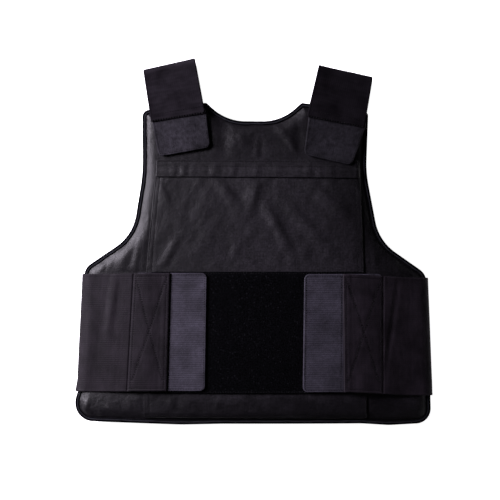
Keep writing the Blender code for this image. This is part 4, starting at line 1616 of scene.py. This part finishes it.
def side_band(band):
    """Elastic from under the back panel round the side edge to its tab, with its box of stitches."""
    v = band.bottom * MM + lines((band.top - band.bottom) * MM, 0.9 * MM)
    grid = band_paths(band, v)

    def relief(x, y, u, v, edge):
        front = smooth(80 * MM, 95 * MM, u)
        length, width = u.max(), v.max()
        folds = fold_height(BAND_FOLDS, x, y) * front
        gathers = crumple(BAND_GATHERS, u, v, band.side)
        slow = crumple(BAND_WAVES, u, v, band.side) * front
        cords = rib_rows(v, BAND_RIB, BAND_CORD)
        selvedge = rim_height(BAND_SELVEDGE, edge)
        doubled = BAND_DOUBLED * (1 - smooth(7 * MM, 12 * MM, length - u))
        runs = band_runs(band, length, width)
        rows = sum(BAND_ROW_DEPTH * near_run(u, v, run, 0.8 * MM) for run in runs)
        share = np.clip((y / MM - band.bottom) / (band.top - band.bottom), 0, 1)
        past = np.abs(x) - leaned(band.tab_low, band.tab_top, share)
        crease = hump(past, BAND_CREASE, 1.1 * MM) * front
        return folds + gathers + slow + cords + selvedge + doubled - rows - crease

    piece, surface, flat = strip_sheet(
        f"side_band_elastic_{band.name}", grid, band.side, ELASTIC_THICKNESS, relief, "elastic")
    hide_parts(f"side_band_{band.name}")
    runs = band_runs(band, surface.u[-1], surface.v[-1])
    threads = add_stitches(f"side_band_stitches_{band.name}", sew(surface, *runs))


def shoulder_tab(strap):
    """Hook tab of a shoulder strap, ribs along it, over its patch of loop pile."""
    cloth = bpy.context.scene.vest_cloth
    loop_top = GAP + SHOULDER_LOOP_PILE
    low = np.array(strap.tab_low)
    top = np.array(strap.tab_top)
    drop = np.linalg.norm(top.mean(0) - low.mean(0))
    end = top + (top - low) / drop * TAB_OVERLAP / MM
    across = (low[1] - low[0]) * 0.06
    lower, upper = low + (top - low) * 0.28, low + (top - low) * 0.93
    patch = [lower[0] + across, lower[1] - across, upper[1] - across, upper[0] + across]
    pile, _, patch_flat = laid_sheet(
        f"shoulder_pile_{strap.name}", patch, lambda x, y: front_body(x, y) + GAP, SHOULDER_LOOP_PILE,
        "loop", step=5 * MM)
    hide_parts(f"shoulder_loop_{strap.name}")

    def relief(x, y, u, v, edge):
        ribs = rib_rows(v, cloth.rib_pitch, SHOULDER_TAB_RIB) * smooth(1.5 * MM, TAB_ROW, edge)
        waver = crumple(SHOULDER_TAB_WAVES, u, v, strap.waves)
        return ribs + waver + rim_height(SHOULDER_TAB_RIM, edge)

    piece, surface, flat = laid_sheet(
        f"shoulder_tab_cloth_{strap.name}", [low[0], low[1], end[1], end[0]],
        lambda x, y: front_body(x, y) + loop_top + GAP,
        TAB_THICKNESS, "shoulder_hook", radius=TAB_CORNER, step=1.6 * MM, across_step=0.8 * MM,
        detail=relief)
    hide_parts(f"shoulder_tab_{strap.name}")
    width = flat[0]
    near, far = TAB_ROW, width - TAB_ROW
    shown = drop * MM - 1 * MM
    run = [(shown, near), (near, near), (near, far), (shown, far)]
    threads = add_stitches(f"shoulder_tab_stitches_{strap.name}", sew(surface, run))


def shoulder_strap(strap):
    """Elastic sewn under the back shoulder, folded over at the top and down onto its tab."""
    foot, fold = np.array(strap.foot) * MM, np.array(strap.fold) * MM
    reach = np.linalg.norm(fold.mean(0) - foot.mean(0)) - ELASTIC_THICKNESS
    turn = reach - STRAP_TURN
    width = np.linalg.norm(fold[1] - fold[0])
    foot_height = GAP + SHOULDER_LOOP_PILE + GAP + TAB_THICKNESS + GAP
    share = lines(width, 2.0 * MM, (2.4 * MM,)) / width

    def place(s, side):
        """Plan point at a distance s from the foot and a share side of the way across."""
        low = foot[0] + (foot[1] - foot[0]) * side
        high = fold[0] + (fold[1] - fold[0]) * side
        return low + (high - low) * (s / (reach + ELASTIC_THICKNESS))

    def under(s, side):
        x, y = place(s, side)
        return back_bottom(x, y) - UNDER_GAP

    def over(s, side):
        x, y = place(s, side)
        return front_body(x, y) + foot_height - STRAP_SAG * smooth(0, turn, s)

    paths = []
    for side in share:
        path = [(s, under(s, side)) for s in np.linspace(STRAP_SEWN_TO, turn, 24)]
        middle = (over(turn, side) + under(turn, side)) / 2
        half = (over(turn, side) - under(turn, side)) / 2
        for degrees in np.linspace(-90, 90, 25)[1:-1]:
            angle = math.radians(degrees)
            path.append((turn + STRAP_TURN * math.cos(angle), middle + half * math.sin(angle)))
        path += [(s, over(s, side)) for s in np.linspace(turn, 0.0, 36)]
        paths.append([(*place(s, side), z) for s, z in path])
    grid = np.array(paths).transpose(1, 0, 2)

    def relief(x, y, u, v, edge):
        gathers = crumple(STRAP_GATHERS, u, v, strap.waves)
        slow = crumple(STRAP_WAVES, u, v, strap.waves)
        end = STRAP_END_RISE * (1 - smooth(2 * MM, 4 * MM, u.max() - u))
        return gathers + slow + rim_height(STRAP_SELVEDGE, edge) + end

    piece, surface, flat = strip_sheet(
        f"shoulder_strap_elastic_{strap.name}", grid, -1, ELASTIC_THICKNESS, relief,
        "shoulder_elastic")
    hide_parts(f"shoulder_strap_{strap.name}")
    width, length = flat
    runs = [[(length - row, 1 * MM), (length - row, width - 1 * MM)] for row in STRAP_END_ROWS]
    threads = add_stitches(f"shoulder_strap_stitches_{strap.name}", sew(surface, *runs))


# Steps that dress the vest


class VEST_OT_carriers(bpy.types.Operator):
    """Builds the carrier cloth over the front and the back protective packs"""

    bl_idname = "vest.carriers"
    bl_label = "Carrier Panels"

    def execute(self, context):
        carrier(
            "back_carrier", "back_panel", BACK_OUTLINE, back_mid, flat_relief,
            step=8 * MM, grid=9 * MM)
        carrier(
            "front_carrier", "front_panel", OUTLINE, front_mid, front_relief,
            step=3 * MM, grid=4 * MM)
        return {"FINISHED"}


class VEST_OT_edge_tapes(bpy.types.Operator):
    """Sweeps the sewn edge tape round both panels"""

    bl_idname = "vest.edge_tapes"
    bl_label = "Edge Tapes"

    def execute(self, context):
        edge_tape("back_edge_tape", "back_binding", BACK_OUTLINE, back_mid, seed=1.7)
        edge_tape("front_edge_tape", "front_binding", OUTLINE, front_mid, seed=0.4)
        return {"FINISHED"}


class VEST_OT_plate_pocket(bpy.types.Operator):
    """Lays the plate pocket's cloth and the gathered strip over its mouth"""

    bl_idname = "vest.plate_pocket"
    bl_label = "Plate Pocket"

    def execute(self, context):
        piece, surface, flat = laid_sheet(
            "plate_pocket_cloth", POCKET, pocket_height, POCKET_CLOTH, "carrier",
            seams=POCKET_SEAMS, detail=pocket_relief, bow=POCKET_BOW)
        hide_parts("plate_pocket")
        width, length = flat
        sides = [place for seam in POCKET_SEAMS for place in (seam, width - seam)]
        runs = [[(4 * MM, place), (length - 6 * MM, place)] for place in sides]
        runs += [[(HEM_ROW, 2 * MM), (HEM_ROW, width - 2 * MM)]]
        threads = add_stitches("plate_pocket_stitches", sew(surface, *runs))
        strip, surface, flat = laid_sheet(
            "pocket_mouth_strip", FLAP, flap_height, FLAP_CLOTH, "carrier", step=1.6 * MM,
            detail=flap_relief)
        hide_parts("pocket_flap")
        width, length = flat
        runs = [[(length - row, 1.5 * MM), (length - row, width - 1.5 * MM)] for row in FLAP_ROWS]
        threads = add_stitches("pocket_mouth_stitches", sew(surface, *runs))
        return {"FINISHED"}


class VEST_OT_loop_field(bpy.types.Operator):
    """Lays the wide field of loop pile that the side tabs grip"""

    bl_idname = "vest.loop_field"
    bl_label = "Loop Field"

    def execute(self, context):
        piece, surface, flat = laid_sheet(
            "loop_field_pile", LOOP_FIELD, field_height, FIELD_PILE, "loop", step=3 * MM,
            detail=field_relief)
        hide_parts("loop_field")
        width, length = flat
        run = box_run(FIELD_ROW, length - FIELD_ROW, FIELD_ROW, width - FIELD_ROW)
        threads = add_stitches("loop_field_stitches", sew(surface, run))
        shown = (4 * MM, length - 4 * MM, *FIELD_SHOWS)
        loops = pile_loops("loop_field_loops", surface, shown, seed=5)
        return {"FINISHED"}


class VEST_OT_side_bands(bpy.types.Operator):
    """Wraps the side bands round the panels and lays their hook tabs on the field"""

    bl_idname = "vest.side_bands"
    bl_label = "Side Bands"

    def execute(self, context):
        for band in BANDS:
            side_tab(band)
            side_band(band)
        return {"FINISHED"}


class VEST_OT_shoulder_straps(bpy.types.Operator):
    """Folds the shoulder straps over and lays their hook tabs on the front panel"""

    bl_idname = "vest.shoulder_straps"
    bl_label = "Shoulder Straps"

    def execute(self, context):
        for strap in STRAPS:
            shoulder_tab(strap)
            shoulder_strap(strap)
        return {"FINISHED"}


KEY_PLACE = (-2.6, 1.2, 1.4)
KEY_SIZE = 1.3
FILL_PLACE = (2.6, -1.4, 1.5)
FILL_SIZE = 2.0
FLOOR_HALF = 6.0
FLOOR_DROP = 0.0004
VIEW_CENTRE = (-0.0048, -0.0105, 0.025)
SENSOR_WIDTH = 36.0
WORLD_GREY = 0.015


def soft_light(name, place, power, size):
    """A large square light that points at the vest."""
    data = bpy.data.lights.new(name, "AREA")
    data.energy = power
    data.size = size
    data.color = bpy.context.scene.vest_stage.light
    light = bpy.data.objects.new(name, data)
    light.location = place
    light.rotation_euler = (-Vector(place)).to_track_quat("-Z", "Y").to_euler()
    bpy.context.scene.collection.objects.link(light)


class VEST_OT_stage(bpy.types.Operator):
    """Makes the pale floor, the soft lights and the camera straight above the vest"""

    bl_idname = "vest.stage"
    bl_label = "Stage"

    def execute(self, context):
        settings = context.scene.vest_stage
        mesh = bpy.data.meshes.new("floor")
        corners = [(-1, -1), (1, -1), (1, 1), (-1, 1)]
        mesh.from_pydata([(x * FLOOR_HALF, y * FLOOR_HALF, 0) for x, y in corners], [], [(0, 1, 2, 3)])
        look = Look("floor_paint", 0.2)
        look.colour(settings.floor, look.mottle(scale=3.0, low=0.99, high=1.0))
        look.feed("Roughness", 0.9)
        look.feed("Emission Color", settings.floor)
        look.feed("Emission Strength", settings.floor_glow)
        mesh.materials.append(look.made)
        floor = bpy.data.objects.new("floor", mesh)
        floor.location.z = -FLOOR_DROP
        context.scene.collection.objects.link(floor)
        soft_light("key_light", KEY_PLACE, settings.key_power, KEY_SIZE)
        soft_light("fill_light", FILL_PLACE, settings.fill_power, FILL_SIZE)
        world = bpy.data.worlds.new("studio")
        world.use_nodes = True
        world.node_tree.nodes["Background"].inputs["Color"].default_value = (*[WORLD_GREY] * 3, 1)
        context.scene.world = world
        data = bpy.data.cameras.new("camera")
        data.sensor_width = SENSOR_WIDTH
        data.lens = SENSOR_WIDTH * settings.camera_height / settings.view_width
        data.clip_end = 50.0
        camera = bpy.data.objects.new("camera", data)
        camera.location = Vector(VIEW_CENTRE) + Vector((0, 0, settings.camera_height))
        context.scene.collection.objects.link(camera)
        context.scene.camera = camera
        context.scene.view_settings.view_transform = "Standard"
        return {"FINISHED"}


STEPS = (
    VEST_OT_carriers,
    VEST_OT_edge_tapes,
    VEST_OT_plate_pocket,
    VEST_OT_loop_field,
    VEST_OT_side_bands,
    VEST_OT_shoulder_straps,
    VEST_OT_stage,
)


class VEST_PT_sidebar(bpy.types.Panel):
    """Lists the settings and the steps that dress the vest"""

    bl_idname = "VEST_PT_sidebar"
    bl_label = "Stab Vest"
    bl_space_type = "VIEW_3D"
    bl_region_type = "UI"
    bl_category = "Vest"

    def draw(self, context):
        layout = self.layout
        for name in SETTINGS:
            settings = getattr(context.scene, name)
            box = layout.box()
            for title in settings.__annotations__:
                box.prop(settings, title)
        for step in STEPS:
            layout.operator(step.bl_idname, text=step.bl_label)


SETTINGS = {"vest_cloth": VestCloth, "vest_sewing": VestSewing, "vest_stage": VestStage}
CLASSES = (VestCloth, VestSewing, VestStage, *STEPS, VEST_PT_sidebar)


def register():
    for made in CLASSES:
        bpy.utils.register_class(made)
    for name, settings in SETTINGS.items():
        setattr(bpy.types.Scene, name, bpy.props.PointerProperty(type=settings))


def unregister():
    for name in SETTINGS:
        delattr(bpy.types.Scene, name)
    for made in reversed(CLASSES):
        bpy.utils.unregister_class(made)


def main():
    register()
    bpy.ops.vest.carriers()
    bpy.ops.vest.edge_tapes()
    bpy.ops.vest.plate_pocket()
    bpy.ops.vest.loop_field()
    bpy.ops.vest.side_bands()
    bpy.ops.vest.shoulder_straps()
    bpy.ops.vest.stage()


if __name__ == "__main__":
    main()
